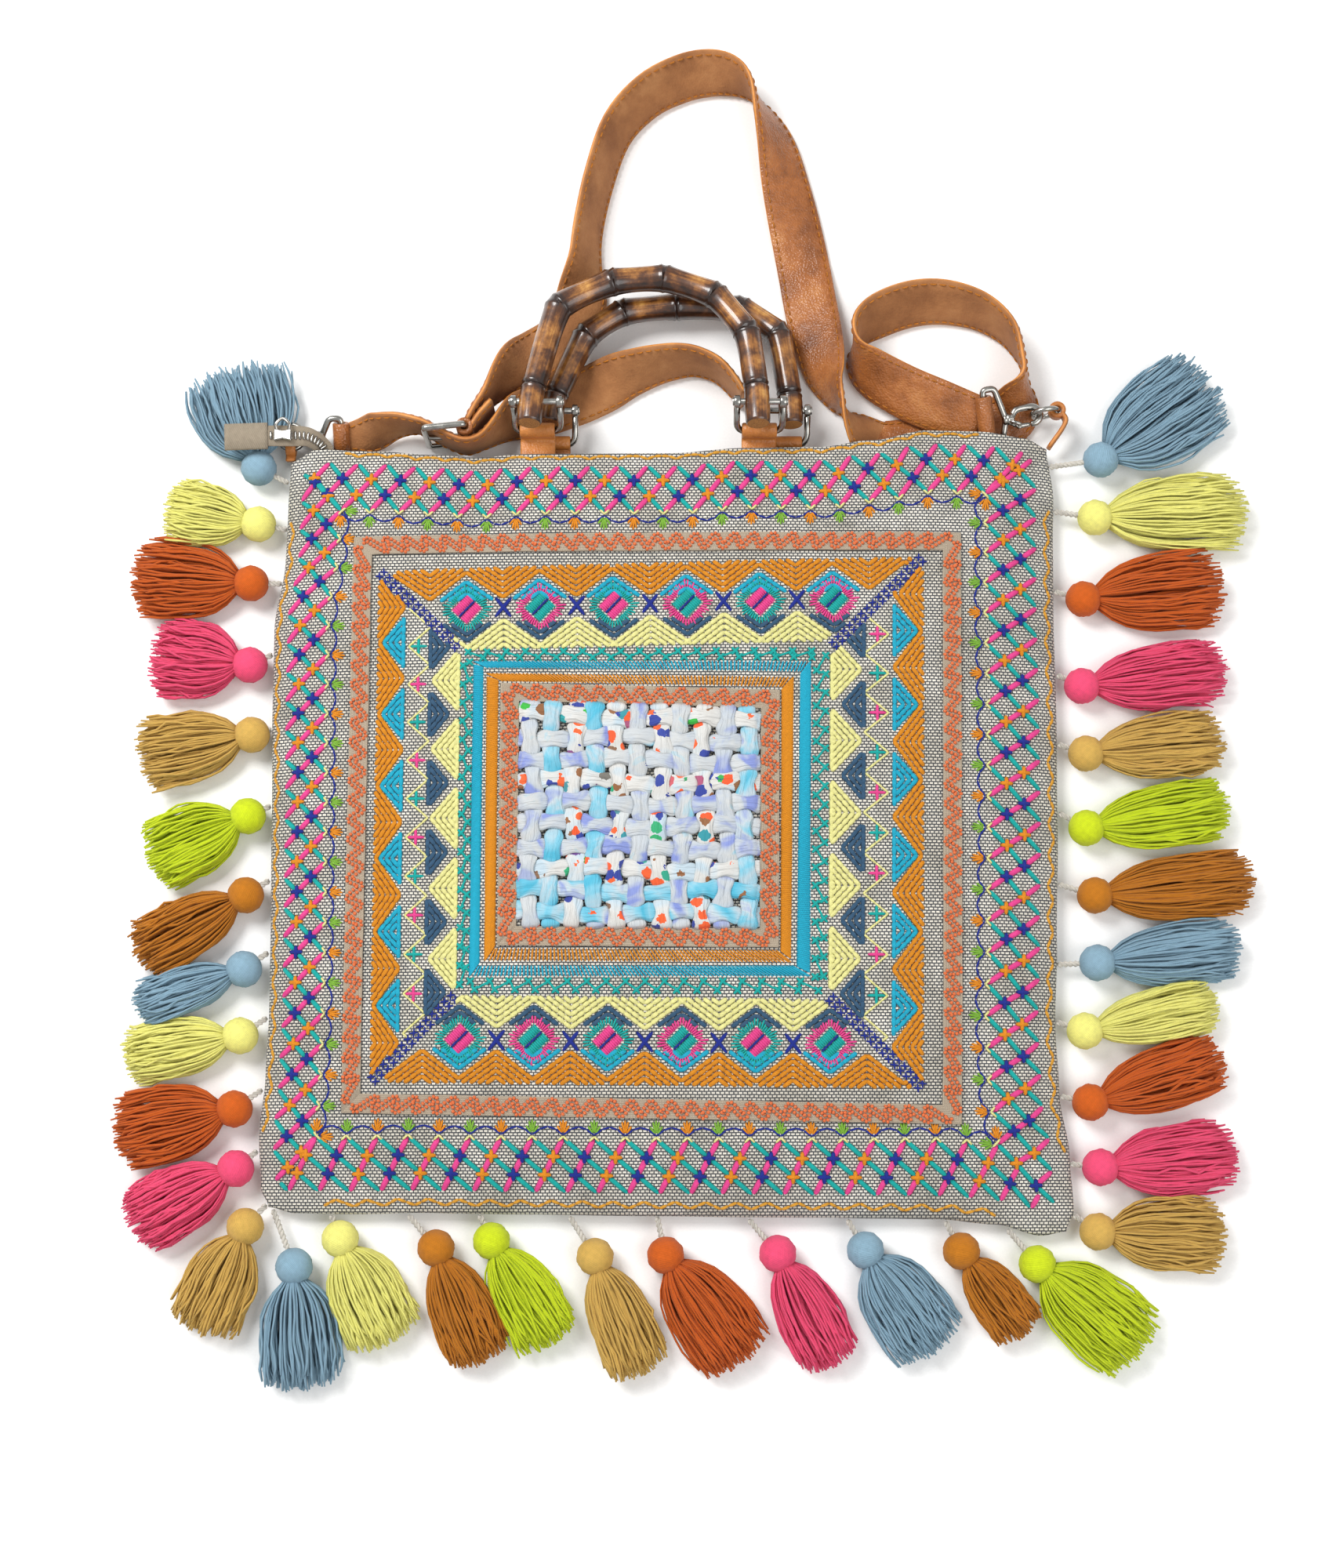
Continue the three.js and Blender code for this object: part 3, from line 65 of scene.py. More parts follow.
# Outline of the pouch in plan: side seams (y, left, right), bottom and mouth (x, bottom, front, rear)
SIDES = np.array([
    (-193, -198, 199), (-183, -202, 203), (-157, -203.5, 201.6), (-126, -201, 197.2),
    (-94, -200, 196), (-54, -200.2, 197.8), (6, -201, 199.6), (67, -202, 200.3),
    (108, -202, 200), (147, -197, 200.6), (174, -196.3, 201.4), (199, -195.5, 198.5),
], float)
ENDS = np.array([
    (-201, -187, 195.5, 195.5), (-187, -190, 201, 199), (-154, -190.5, 199, 197),
    (-125, -189.8, 196.8, 195), (-101, -190.2, 195.1, 194), (-77, -190.6, 196.8, 195),
    (0, -191.5, 197.2, 196), (40, -192, 200, 197), (78, -192.2, 200.6, 197),
    (107, -192.6, 204.4, 191), (136, -193, 209.9, 191), (165, -195.5, 210, 194),
    (188, -201, 207.5, 202), (200.5, -199, 203, 203),
], float)
FRONT_MOUTH, REAR_MOUTH = 2, 3
# Dents pressed into the front: x, y, reach, depth
DENTS = [(-95, 172, 34, 2.2), (85, 168, 30, 1.6), (165, -120, 36, 2.0), (-168, 60, 38, 1.8)]

# Sewn-on frames and the patch, outer corners: bottom left, bottom right, top right, top left
TRIM_WIDTH = 9.6
TRIM_THICK = 1.0
TRIM_GAP = 0.5
TRIM_STEPS = 70
TRIM_WAVE = 0.012
# Section of a ribbon: share across, share of the thickness
TRIM_SECTION = [
    (0.0, 0.0), (0.0, 0.9), (0.04, 1.15), (0.12, 0.95), (0.5, 1.0),
    (0.88, 0.95), (0.96, 1.15), (1.0, 0.9), (1.0, 0.0), (0.5, 0.0),
]
OUTER_TRIM = [(-161, -141), (146.5, -146.5), (151, 154), (-160, 152)]
INNER_TRIM = [(-84, -58.5), (56, -59.5), (57.5, 71), (-83.5, 74.5)]
PATCH = [(-73.2, -47.6), (45.2, -48.4), (46.2, 60.4), (-72.6, 63.6)]
# Cloth of each strip: plain, blue or printed
STRIP_CLOTHS = {"down": [0, 1, 2, 1, 2, 0, 2, 0, 2, 0, 1], "across": [1, 1, 2, 0, 0, 0, 2, 0, 0, 2]}
PATCH_SEED = 11
STRIP_WIDE = 8.0
STRIP_THICK = 2.8
STRIP_SWING = 1.25
STRIP_MIDDLE = 2.1
STRIP_END = 0.4
STRIP_PAST = 0.012
STRIP_SWAY = 0.012
STRIP_PINCH = 0.16
STRIP_AROUND = 12

# Lines of the needlework, corners top left, top right, bottom right, bottom left
PANEL_OUT = [(-146.7, 133.5), (131.6, 140.9), (127.3, -129.0), (-146.7, -125.9)]
PANEL_IN = [(-104.6, 92.6), (83.9, 93.2), (80.6, -83.5), (-104.3, -82.7)]
SATIN_OUT = [(-97.7, 86.1), (73.6, 86.3), (71.7, -73.8), (-98.0, -73.8)]
SATIN_IN = [(-92.3, 82.5), (67.8, 80.4), (64.8, -68.3), (-92.8, -68.3)]
BROCADE_OUT = [(-90.9, 79.8), (64.8, 78.0), (62.2, -66.8), (-90.4, -66.0)]
BROCADE_IN = [(-84.6, 75.6), (58.2, 72.4), (56.8, -60.6), (-85.0, -59.6)]

# Lattice border as shares of the pouch: left, right, bottom, top of its inner and outer lines
LATTICE_IN = np.array([(0.0735, 0.908), (0.097, 0.915)])
LATTICE_OUT = np.array([(0.019, 0.976), (0.028, 0.982)])
# Its sides: first and last corner as (right, top) flags, the way outwards, and the count of bars
LATTICE_SIDES = {
    "top": ((0, 1), (1, 1), (0, 1), 22), "right": ((1, 1), (1, 0), (1, 0), 21),
    "bottom": ((1, 0), (0, 0), (0, -1), 22), "left": ((0, 0), (0, 1), (-1, 0), 21),
}
# Pitches that a pink and a teal bar lean over on each side
LATTICE_LEAN = {"top": (1.5, -1.5), "right": (-1.5, 1.5), "bottom": (1.0, -2.0), "left": (-1.5, 1.5)}
BARS_IN_LINE = 3
BAR_GAP = 0.04
STAR_REACH = 3.3
TIE_SPREAD = 0.16
LEAF_RAYS = ((-34, 5.4), (-13, 7.0), (0, 7.6), (13, 7.0), (34, 5.4))
SCALLOP_STEPS = 4

# Panel: corners that each side runs between, and the room kept free at a mitre
PANEL_ENDS = {"top": (0, 1), "bottom": (3, 2), "left": (0, 3), "right": (1, 2)}
MITRE_ROOM = 0.014
CHEVRONS = 5
DIAMOND_HALF = 5.4
DIAMOND_STEP = 1.12
FRINGE_RAYS = 44
FRINGE_REACH = (5.4, 3.4, 4.4)
# Legs of the peaks on the short sides: share along the side for a share across it
SHORT_SLOPE = 0.19
SHORT_PEAK_HALF = 0.05
MITRE_PITCH = 4.2
KNOT_PITCH = 10
# Lane and shift of the two knots of a pair, and the half reach of a knot
KNOT_LANES = ((0.28, 0.25), (0.74, 0.75))
KNOT_HALF = 1.8
# Bead waves on the ribbons: period, bead, swing as a share of the width, half the space between two rows
WAVE_PERIOD = 9.8
WAVE_POINTS = 24
BEAD = 2.1
WAVE_SWING = 0.33
BEAD_ROWS = 1.15

# Stitches: width, height, and lift off the cloth where they lie on others
LONG_STITCH = 4.2
PINK_BAR = (3.0, 1.2)
TEAL_BAR = (2.7, 1.2)
STAR_STITCH = (2.3, 1.1, 0.8)
TIE_STITCH = (1.2, 0.8, 0.8)
LEAF_STITCH = (1.2, 0.8)
SCALLOP_STITCH = (1.1, 0.7)
EDGE_STITCH = (1.7, 0.8)
PANEL_STITCH = (2.5, 0.9)
ZIGZAG_STITCH = (1.2, 0.7)
SATIN_STITCH = (1.35, 1.0)
SPLIT_STITCH = (1.2, 1.0)
FRINGE_STITCH = (1.1, 0.9)
NAVY_CROSS = (2.1, 1.0)
SMALL_CROSS = (1.7, 1.0)
MITRE_STITCH = (1.0, 0.7)
KNOT_LINK = (1.2, 0.7)
KNOT_STITCH = (1.6, 1.0, 0.2)
BEAD_STITCH = (1.95, 1.2, TRIM_GAP + TRIM_THICK)
BAND_HEIGHT = 0.8
# Form of one stitch: shares along it, its breadth and height there, and its section
STITCH_STOPS = np.array([0.0, 0.16, 0.5, 0.84, 1.0])
STITCH_BREADTH = np.array([0.5, 0.92, 1.0, 0.92, 0.5])
STITCH_CREST = np.array([-0.15, 0.75, 1.0, 0.75, -0.15])
STITCH_SECTION = [(-1.0, 0.0), (1.0, 0.0), (0.62, 1.0), (-0.62, 1.0)]
STITCH_GIRTH = np.array([0.0, 1.0, 0.72, 0.28])
SLOPE_STEP = 0.6

# Bamboo handles: pin axis, droop, knots along the bow (x across, s out from the pin, radius)
LEG_RADIUS = 6.3
KNOT_RADIUS = 7.5
WAIST_RADIUS = 6.5
BOW_STEPS = 44
BOW_AROUND = 28
BOW_ROUND = 0.3
BOW_FLARE = 2.2
# Collar beside a knot as (height, distance, reach), groove of a knot and rim of a cut end as (depth, reach)
KNOT_COLLAR = (0.35, 1.3, 0.7)
KNOT_GROOVE = (0.7, 0.6)
END_RIM = (0.1, 0.5)
# Scorch of the flares, painted shade on the sides and underside, and scorch round each knot as (depth,
# reach)
FLARE_SCORCH = 0.2
PAINTED_SIDE_SHADE = 0.17
KNOT_SCORCH = ((0.1, 4.0), (0.16, 0.7))
# Turn round the bow of the painted side shade
SIDE_SHADE_TURN = 0.35
SHELL_PLAY = 0.1
FRONT_HANDLE = dict(name="front_handle", pin_y=219.1, pin_z=39.5, droop=10, knots=[
    (-69.6, -12.3, LEG_RADIUS), (-67.8, 8.6, LEG_RADIUS), (-55.5, 54.4, KNOT_RADIUS),
    (-28, 69.2, KNOT_RADIUS), (-1, 71.4, KNOT_RADIUS), (25.4, 61.5, KNOT_RADIUS),
    (41.6, 40, KNOT_RADIUS), (46.2, 8.6, LEG_RADIUS), (46.9, -12.5, LEG_RADIUS),
])
REAR_HANDLE = dict(name="rear_handle", pin_y=220.9, pin_z=18, droop=6, knots=[
    (-60, -6.8, LEG_RADIUS), (-57, 9, LEG_RADIUS), (-42, 41.9, KNOT_RADIUS),
    (-22.4, 55.7, KNOT_RADIUS), (5.5, 59, KNOT_RADIUS), (39.2, 57.3, KNOT_RADIUS),
    (58.4, 43.2, KNOT_RADIUS), (64.2, 9, LEG_RADIUS), (65, -8, LEG_RADIUS),
])

# Shackles and their leather tabs
ROD = 1.7
PIN_RADIUS = 1.8
EAR_RADIUS = 3.5
EAR_HALF = 1.7
BOW_HALF = 11.8
BOW_CORNER = 6.0
# Turned pins: sides, inset and dish of the ends as shares of the rim, and the rims
PIN_SIDES = 24
PIN_INSET = 1.6
PIN_DISH = 0.4
EAR_RIM = 0.5
PIN_RIM = 0.3
# Head of a shackle's pin: distance from the ear, how much wider than the pin, depth and rim
PIN_HEAD_OFF = 0.2
PIN_HEAD_MORE = 0.5
PIN_HEAD_DEEP = 1.2
PIN_HEAD_RIM = 0.35
TAB_SKIN = 1.5
TAB_PLAY = 0.4
TAB_KNEE = 5.5
TAB_INSIDE_Y = 186.0
# Fold of a tab round the bow: its turns, how far short of the bow it centres, and how long it is drawn
TAB_TURNS = np.radians(np.linspace(-150, 150, 17))
TAB_SHORT = 0.8
TAB_DRAWN = 1.1
TAB_SPLIT = 0.6
FRONT_TABS = dict(handle=FRONT_HANDLE, reach=20.0, slope=58, tab_half=9.0, tab_z=16.2)
REAR_TABS = dict(handle=REAR_HANDLE, reach=18.0, slope=27, tab_half=8.6, tab_z=8.7)
SHACKLES = [
    dict(name="front_shackle_left", tab="front_tab_left", x=-66.2, tab_x=-66.4, **FRONT_TABS),
    dict(name="front_shackle_right", tab="front_tab_right", x=48.2, tab_x=48.2, **FRONT_TABS),
    dict(name="rear_shackle_left", tab="rear_tab_left", x=-59, tab_x=-58.4, **REAR_TABS),
    dict(name="rear_shackle_right", tab="rear_tab_right", x=61.6, tab_x=62.2, **REAR_TABS),
]

# Straps: middle line x, y, lean of the upper edge to the left of travel, then the lift off the floor
# and the width where they aren't nought and the full width
STRAP_WIDTH = 28.0
STRAP_THICK = 2.6
STRAP_STEPS = 5
STRAP_PLAY = 0.3
LONG_STRAP = [
    (163.5, 217, -62, 5.5, 25), (143, 224.5, -62, 5), (122.9, 233.5, -58, 4.5), (106.7, 243.6, -42, 2.5),
    (99, 254, -12), (101, 264.5, 18), (109.3, 273, 36), (123.6, 279.5, 40), (138, 282, 38),
    (152.4, 280.4, 32), (166.7, 275, 22), (179, 264.5, 8), (186, 250, -8), (187.6, 239, -14),
    (186, 230, -50), (179.5, 221, -84), (169, 215.5, -90), (159, 212.5, -91), (139, 209.5, -94),
    (122, 207, -100), (110, 207.5, -106), (99, 216.5, -142), (91, 225, -180), (86, 234, -200),
    (83, 244, -222), (79.8, 262, -246), (76.3, 283, -262), (72.8, 305, -270), (68.4, 327, -278),
    (63.6, 349, -292), (58.8, 371, -310), (52.6, 387, -332), (44.4, 400, -360), (34, 407, -385),
    (22.3, 409, -396), (7.7, 405.8, -398), (-10.2, 395.7, -394), (-26, 377, -390), (-35.5, 349, -388),
    (-41, 322, -388), (-42.4, 303, -396), (-44, 288, -426), (-48, 274, -448), (-56, 264.5, -450),
    (-67, 256, -440), (-79, 245.5, -402, 2.5), (-91, 230, -368, 4.7), (-98.5, 220, -360, 4.7),
    (-102.2, 212.6, -360, 4.7),
]
SHORT_STRAP = [
    (-166.5, 210, 60, 1.1, 15), (-160, 210.5, 52, 0.8, 19), (-151, 211, 26), (-140, 213.5, 10, 2.5),
    (-130, 213, 0, 4.7), (-123.5, 210.8, 0, 4.7), (-113.5, 205.4, 0, 4.7), (-104, 201.8, 0, 4.7),
    (-95, 205, 0, 3.5), (-84, 214, 20), (-71, 222.5, 66), (-58, 228, 84), (-46, 232.5, 86),
    (-38, 236, 82), (-30, 239, 66), (-19, 243, 44), (-5.5, 247, 30), (6, 249, 22), (16, 248.6, 14),
    (27, 244, 8), (35.5, 235, 4), (40, 228, 2),
]
FOLDED_BACK = [(-101.5, 206.8, 0, 4.7), (-96.4, 215, 0, 4.7), (-90, 222.6, 0, 4.7)]
# Row of the long strap, hidden in the mouth, past which its grain faces the other way
STRAP_TURN_ROW = 20
# Saddle stitches: inset from the edge, length, pitch, lowest height, and their form along their length
SADDLE_INSET = 2.4
SADDLE_LONG = 3.0
SADDLE_PITCH = 4.4
SADDLE_FLOOR = 0.5
SADDLE_STOPS = np.array([0.0, 0.2, 0.5, 0.8, 1.0])
SADDLE_RISE = np.array([-0.2, 0.22, 0.3, 0.22, -0.2])
SADDLE_RADIUS = np.array([0.3, 0.42, 0.45, 0.42, 0.3])
# Section of a leather band: share of the half width, what is trimmed off it, share of the half thickness
BAND_SECTION = [
    (1, 0, 0.4), (1, 0.8, 1), (0.5, 0, 1), (0, 0, 1), (-0.5, 0, 1), (-1, 0.8, 1), (-1, 0, 0.4),
    (-1, 0, -0.4), (-1, 0.8, -1), (-0.5, 0, -1), (0, 0, -1), (0.5, 0, -1), (1, 0.8, -1), (1, 0, -0.4),
]
# Face that each span of that section lies on: upper, edge or lower
BAND_FACES = np.array([1] * 6 + [0] + [-1] * 6 + [0])
GRAIN_SLOT, FLESH_SLOT, EDGE_SLOT = 0, 1, 2
EYE_OUT = 4.4
EYE_IN = 2.3
EYE_TRIM = 0.5
EYE_BEVEL = 0.6
EYE_AROUND = 20
LEFT_EYE_HALF = 7.5
BUCKLE = dict(left=-124.0, right=-103.5, left_y=206.4, right_y=208.6, bottom=2.6, top=35.4, prong_z=19.2)
BUCKLE_CORNER = 1.8
BAR = 1.7
PRONG_ROD = 1.2
# Points of the prong, as steps from the buckle's right and left bars
PRONG_RIGHT = ((-1.2, -0.6), (-4, -1.2))
PRONG_LEFT = ((6, -0.4), (-1, 0))

# Snap hooks: place, turn in plan, lean and half length of the strap bar, crook radius, reach
RIGHT_HOOK = dict(x=166.6, y=215.8, z=13.2, turn=10, lean=-62, bar=17.2, crook=4.6, reach=24.0, right=True)
LEFT_HOOK = dict(x=-169.5, y=209.9, z=7.6, turn=180, lean=60, bar=9.8, crook=3.4, reach=19.5, right=False)
HOOK_ROD = 1.9
HOOK_CORNER = 2.2
HOOK_SHOULDER = 6
HOOK_TIP = 10.5
# Start of the crook, as (distance from the strap bar, share of the crook's radius)
CROOK_NECK = ((13.5, 0), (15.5, 0.7), (18, 1))
# Ears that carry the right gate's pivot: where they start and end, half their spread there, and their rod
EAR_START = 11.5
EAR_END = 17.4
EAR_NARROW = 1.8
EAR_WIDE = 2.9
EAR_ROD = 0.9
SHUT_GATE_ROD = 1.3
# Start of the left hook's shut gate, as (distance from the strap bar, share of the crook's radius)
SHUT_GATE = ((13, 0), (15, -0.8))
# Rod of a crook: shares along it, and its radius there
CROOK_STOPS = (0, 0.2, 0.8, 1)
CROOK_RADII = (1.5, HOOK_ROD, HOOK_ROD, 1.4)
# Thumb stud of the right gate: radius, depth, rim
STUD = (1.5, 3.2, 0.3)
# Barrel of a hook: its start, then places and radii along it
BARREL_START = 8.8
BARREL = [
    (0, 2.0), (0.5, 3.0), (1.4, 3.1), (1.9, 2.6), (2.4, 3.2), (3.3, 3.2), (3.8, 2.6), (4.6, 3.1), (5.4, 3.0),
    (6.0, 1.6),
]
CROOK_TURNS = (90, 50, 10, -30, -70)
GATE_START = 16.6
GATE_SHORT = 1.5
GATE_RADII = np.array([1.2, 1.3, 1.25, 1.2, 1.15, 1.1, 0.8])
RING_ROD = 1.4
RING_POINTS = 36
RIGHT_RING = 7.0
LEFT_RING = 6.6
RING_TAB_SKIN = 2.4
# Leather tabs of the rings: distance from the ring's middle, half width, and points of the tongue
RIGHT_TAB_OFF = 6.6
RIGHT_TAB_HALF = 3.2
RIGHT_TONGUE = ((2.6, -1.5, 0), (4, -7, 0))
RIGHT_TAB_END = (199.3, 203.1, 10.5)
LEFT_TAB_OFF = 6.2
LEFT_TAB_HALF = 2.6
LEFT_TONGUE = ((0, -2.6, 0), (0, -5, 0.5), (0, -7, 1))

# Zip: ends of the tapes as shares of the mouth, and the tail that leaves it (x, y, z, half width, thickness)
TAPE_ENDS = (0.06, 0.74)
TAPE_POINTS = 80
# Section of a tape: inset from the lip, depth under the cloth
TAPE_SECTION = ((2.6, 0.5), (10.6, 0.5), (10.6, 1.3), (2.6, 1.3))
ZIP_TAIL = [
    (-168, 193.5, 9.4, 4.5, 1.4), (-176, 197, 9.4, 4.5, 1.4), (-178.5, 203.5, 10.6, 4.5, 1.4),
    (-185, 207, 16.4, 5, 1.4), (-192, 207, 19, 5.5, 1.4), (-205, 206.5, 21, 5.5, 1.4),
    (-207, 206.5, 21.2, 5.5, 1.4),
]
ZIP_END = [(-206, 206.5, 21.1, 7, 3), (-217, 206, 21.5, 7, 3), (-228, 205.5, 21.8, 7, 3)]
# Section of the tail: shares of the half width and of half the thickness
TAIL_SECTION = [
    (1, 0.3), (0.94, 1), (0, 1.12), (-0.94, 1), (-1, 0.3), (-1, -0.3), (-0.94, -1), (0, -1.12), (0.94, -1),
    (1, -0.3),
]
TAIL_GIRTH = 6.0
TOOTH_START = 14.0
TOOTH_PITCH = 2.1
TOOTH_REACH = (-2.2, -1.4, 1.4, 2.2)
TOOTH_RADII = np.array([0.5, 0.75, 0.75, 0.5])
SLIDER = (-198.0, 206.5, 22.6)
SLIDER_SIZE = (9, 6.4, 2.2)
SLIDER_WAIST = 0.72
SLIDER_BEVEL = 0.5
# Wire pull, as steps from the slider's middle
PULL = [(-3, 2.2, 0), (-3.4, 5.5, 1.4), (0, 8.4, 1.4), (3.4, 5.5, 1.4), (3, 2.2, 0)]
PULL_ROD = 0.9

# Tassels: name, head x, y, heading of the skirt, length, half width, point on the seam that the cord aims at
TASSELS = [
    ("left_01_blue", -212, 192.5, 106, 57, 25, -199, 186),
    ("left_02_yellow", -211.5, 162.5, 170, 50, 15, -198, 160),
    ("left_03_rust", -214.5, 131, 177, 62, 19, -200, 131),
    ("left_04_pink", -214, 88, 174, 52, 18, -204, 93),
    ("left_05_mustard", -212, 51.5, 190, 60, 17, -203.5, 54),
    ("left_06_lime", -213, 9.5, 205, 56, 17, -203.5, 14),
    ("left_07_brown", -213, -31, 209, 64, 14, -202.5, -24),
    ("left_08_blue", -213, -68.5, 200, 58, 10.5, -202.5, -61),
    ("left_09_yellow", -214, -102, 190, 60, 13, -202.5, -94),
    ("left_10_rust", -216, -138.5, 193, 62, 17, -204, -130),
    ("left_11_pink", -214.5, -168, 209, 60, 15, -205, -160),
    ("left_12_mustard", -209, -196.5, 247, 57, 16, -201, -188),
    ("bottom_01_blue", -184.3, -216, 275, 61, 18, -194, -192),
    ("bottom_02_yellow", -161.7, -202.5, 296, 58, 17, -166, -192),
    ("bottom_03_brown", -114.1, -207, 294, 62, 14, -127, -192),
    ("bottom_04_lime", -86.6, -203.5, 301, 60, 15.5, -92, -192.4),
    ("bottom_05_mustard", -35.2, -211.2, 292, 63, 14, -47, -193),
    ("bottom_06_rust", -0.2, -210.5, 306, 66, 18, -4, -193.4),
    ("bottom_07_pink", 55.4, -209.7, 297, 62, 14, 42, -194),
    ("bottom_08_blue", 98.9, -208, 305, 61, 18, 91, -194.4),
    ("bottom_09_brown", 146.5, -208.5, 307, 52, 12, 140, -196),
    ("bottom_10_lime", 184, -214.8, 320, 68, 19, 172, -200.5),
    ("right_12_mustard", 214.5, -199, -2, 64, 16, 204.4, -192),
    ("right_11_pink", 216.6, -167.4, 6, 70, 15.5, 204, -166),
    ("right_10_rust", 212.4, -135.2, 18, 72, 14, 201.4, -133),
    ("right_09_yellow", 210.6, -99.6, 12, 70, 12, 199.4, -96),
    ("right_08_blue", 217.8, -65.3, 6, 74, 14, 200.4, -66),
    ("right_07_brown", 217.5, -31.1, 6, 82, 14.5, 201.2, -26),
    ("right_06_lime", 214, 3.4, 9, 75, 14.5, 202.4, 10),
    ("right_05_mustard", 214.8, 41.8, 6, 72, 14.5, 203, 46),
    ("right_04_pink", 213.6, 77, 7, 76, 15, 203, 82),
    ("right_03_rust", 215.5, 122.7, 6, 74, 18, 203.6, 126),
    ("right_02_yellow", 222.7, 166, 2, 80, 18, 204.6, 169),
    ("right_01_blue", 226.4, 197, 36, 74, 23, 204.6, 194),
]
FLOOR_PLAY = 0.5
HEAD_RADIUS = 9.2
HEAD_RINGS = 15
HEAD_AROUND = 22
HEAD_SPAN = (-80, 66)
WINDING = 0.035
NECK_SHARE = 0.7
STRANDS = 215
STRAND_RADIUS = 0.7
STRAND_STEPS = 9
STRAND_FLOOR = 0.3
# Each yarn's share of the length, curl, waves and width, as (least, most)
STRAND_LENGTHS = (0.84, 1.0)
STRAND_CURLS = (0.4, 1.6)
STRAND_WAVES = (0.8, 2.4)
STRAND_WIDTHS = (0.8, 1.15)
# How much more a stray yarn curls, and the share of yarns that don't stray
STRAY_CURL = 2.2
STRAY_PAST = 0.92
STRAND_STOPS = (0, 0.9, 1)
STRAND_TAPER = (0.8, 1.0, 0.6)
SKIRT_THICK = 7.8
SKIRT_FULL = 1.16
SKIRT_REST = 0.35
SKIRT_NECK = 3.8
SKIRT_LIFT = 0.6
BELL_START = 0.26
BELL_FLARE = 4.4
CORD_RADIUS = 1.7
CORD_GAP = 0.3
CORD_RISE = 0.6
CORD_SINK = 0.8
CORD_STEP = 1.1
SEAM_NEAR = 0.05
SEAM_TRIES = 900
TWIST_PITCH = 5.0
PLY_OFF = 0.8
PLY_SHARE = 0.52

# Studio, in metres and watts: floor, two soft lamps (place, breadth, power), sky, and the camera
FLOOR_SIZE = 6
FLOOR_Z = -0.0004
KEY_LAMP = ((-0.9, 0.8, 1.5), 0.9, 31)
FILL_LAMP = ((1.1, -0.6, 1.6), 1.6, 16)
SKY = 0.55
CAMERA_AT = (0.0, -0.1774, 1.294)
CAMERA_AIM = (0.0, 0.026, 0.010)
CAMERA_LENS = 58.5
CAMERA_SENSOR = 36

# Colours as seen on the bag; embroidery also names its slot
TASSEL_COLOURS = dict(
    blue="#93b6ca", yellow="#fffa8a", rust="#d9641c", pink="#ff5580", mustard="#e0b55c", lime="#d9ec20",
    brown="#cb7d1c",
)
EMBROIDERY = dict(
    pink=("#ff4fa0", "thread_pink"), teal=("#17bab2", "thread_blue"), orange=("#f79a22", "thread_brown"),
    ochre=("#ee981f", "thread_brown"), marigold=("#f2ae3a", "thread_mustard"),
    navy=("#20329a", "thread_blue"), yellow=("#fffaa6", "thread_yellow"), green=("#8cc444", "thread_lime"),
    turquoise=("#22b8d8", "thread_blue"), slate=("#3d6180", "thread_blue"), coral=("#ff8650", "trim"),
)


# Materials


def linear(code):
    """Linear colour of an sRGB hex code."""
    parts = [int(code[i:i + 2], 16) / 255 for i in (1, 3, 5)]
    return [p / 12.92 if p <= 0.04045 else ((p + 0.055) / 1.055) ** 2.4 for p in parts] + [1.0]


def add(tree, kind, inputs=None, **settings):
    """Adds a node, sets its fields, and sets or links its inputs."""
    node = tree.nodes.new(kind)
    for name, value in settings.items():
        setattr(node, name, value)
    for key, value in (inputs or {}).items():
        if isinstance(value, bpy.types.NodeSocket):
            tree.links.new(value, node.inputs[key])
        else:
            node.inputs[key].default_value = value
    return node


def begin(name, space):
    """An empty node material and the coordinates that it is laid out in."""
    material = bpy.data.materials.new(name)
    material.use_nodes = True
    tree = material.node_tree
    tree.nodes.clear()
    return material, tree, add(tree, "ShaderNodeTexCoord").outputs[space]


def close(material, inputs):
    """Joins a surface with these inputs to the material's output."""
    tree = material.node_tree
    surface = add(tree, "ShaderNodeBsdfPrincipled", inputs)
    add(tree, "ShaderNodeOutputMaterial", {"Surface": surface.outputs["BSDF"]})
    return material


def ramp(tree, value, stops):
    """Colour ramp with the given (place, colour) stops."""
    node = add(tree, "ShaderNodeValToRGB", {"Fac": value})
    while len(node.color_ramp.elements) < len(stops):
        node.color_ramp.elements.new(0.5)
    for element, (place, colour) in zip(node.color_ramp.elements, stops):
        element.position = place
        element.color = linear(colour)
    return node.outputs["Color"]


def noise(tree, at, scale, detail=2.0, roughness=0.5, distortion=0.0):
    """Cloudy pattern."""
    return add(tree, "ShaderNodeTexNoise", {
        "Vector": at, "Scale": scale, "Detail": detail, "Roughness": roughness, "Distortion": distortion,
    })


def ribs(tree, at, scale, distortion, direction):
    """Even ribs across one direction."""
    inputs = {"Vector": at, "Scale": scale, "Distortion": distortion}
    return add(tree, "ShaderNodeTexWave", inputs, bands_direction=direction).outputs["Fac"]


def blend(tree, share, first, second, way="MIX"):
    """Two colours mixed or multiplied."""
    inputs = {0: share, 6: first, 7: second}
    return add(tree, "ShaderNodeMix", inputs, data_type="RGBA", blend_type=way).outputs[2]


def sums(tree, operation, *values):
    """One step of arithmetic."""
    return add(tree, "ShaderNodeMath", dict(enumerate(values)), operation=operation).outputs["Value"]


def strayed(tree, at, scale, reach):
    """Coordinates pushed about by a cloudy pattern."""
    wander = noise(tree, at, scale)
    push = add(tree, "ShaderNodeVectorMath", {0: wander.outputs["Color"], "Scale": reach}, operation="SCALE")
    return add(tree, "ShaderNodeVectorMath", {0: at, 1: push.outputs["Vector"]}).outputs["Vector"]


def bumped(tree, height, strength, distance, invert=False):
    """Relief from a height pattern."""
    inputs = {"Height": height, "Strength": strength, "Distance": distance}
    return add(tree, "ShaderNodeBump", inputs, invert=invert).outputs["Normal"]


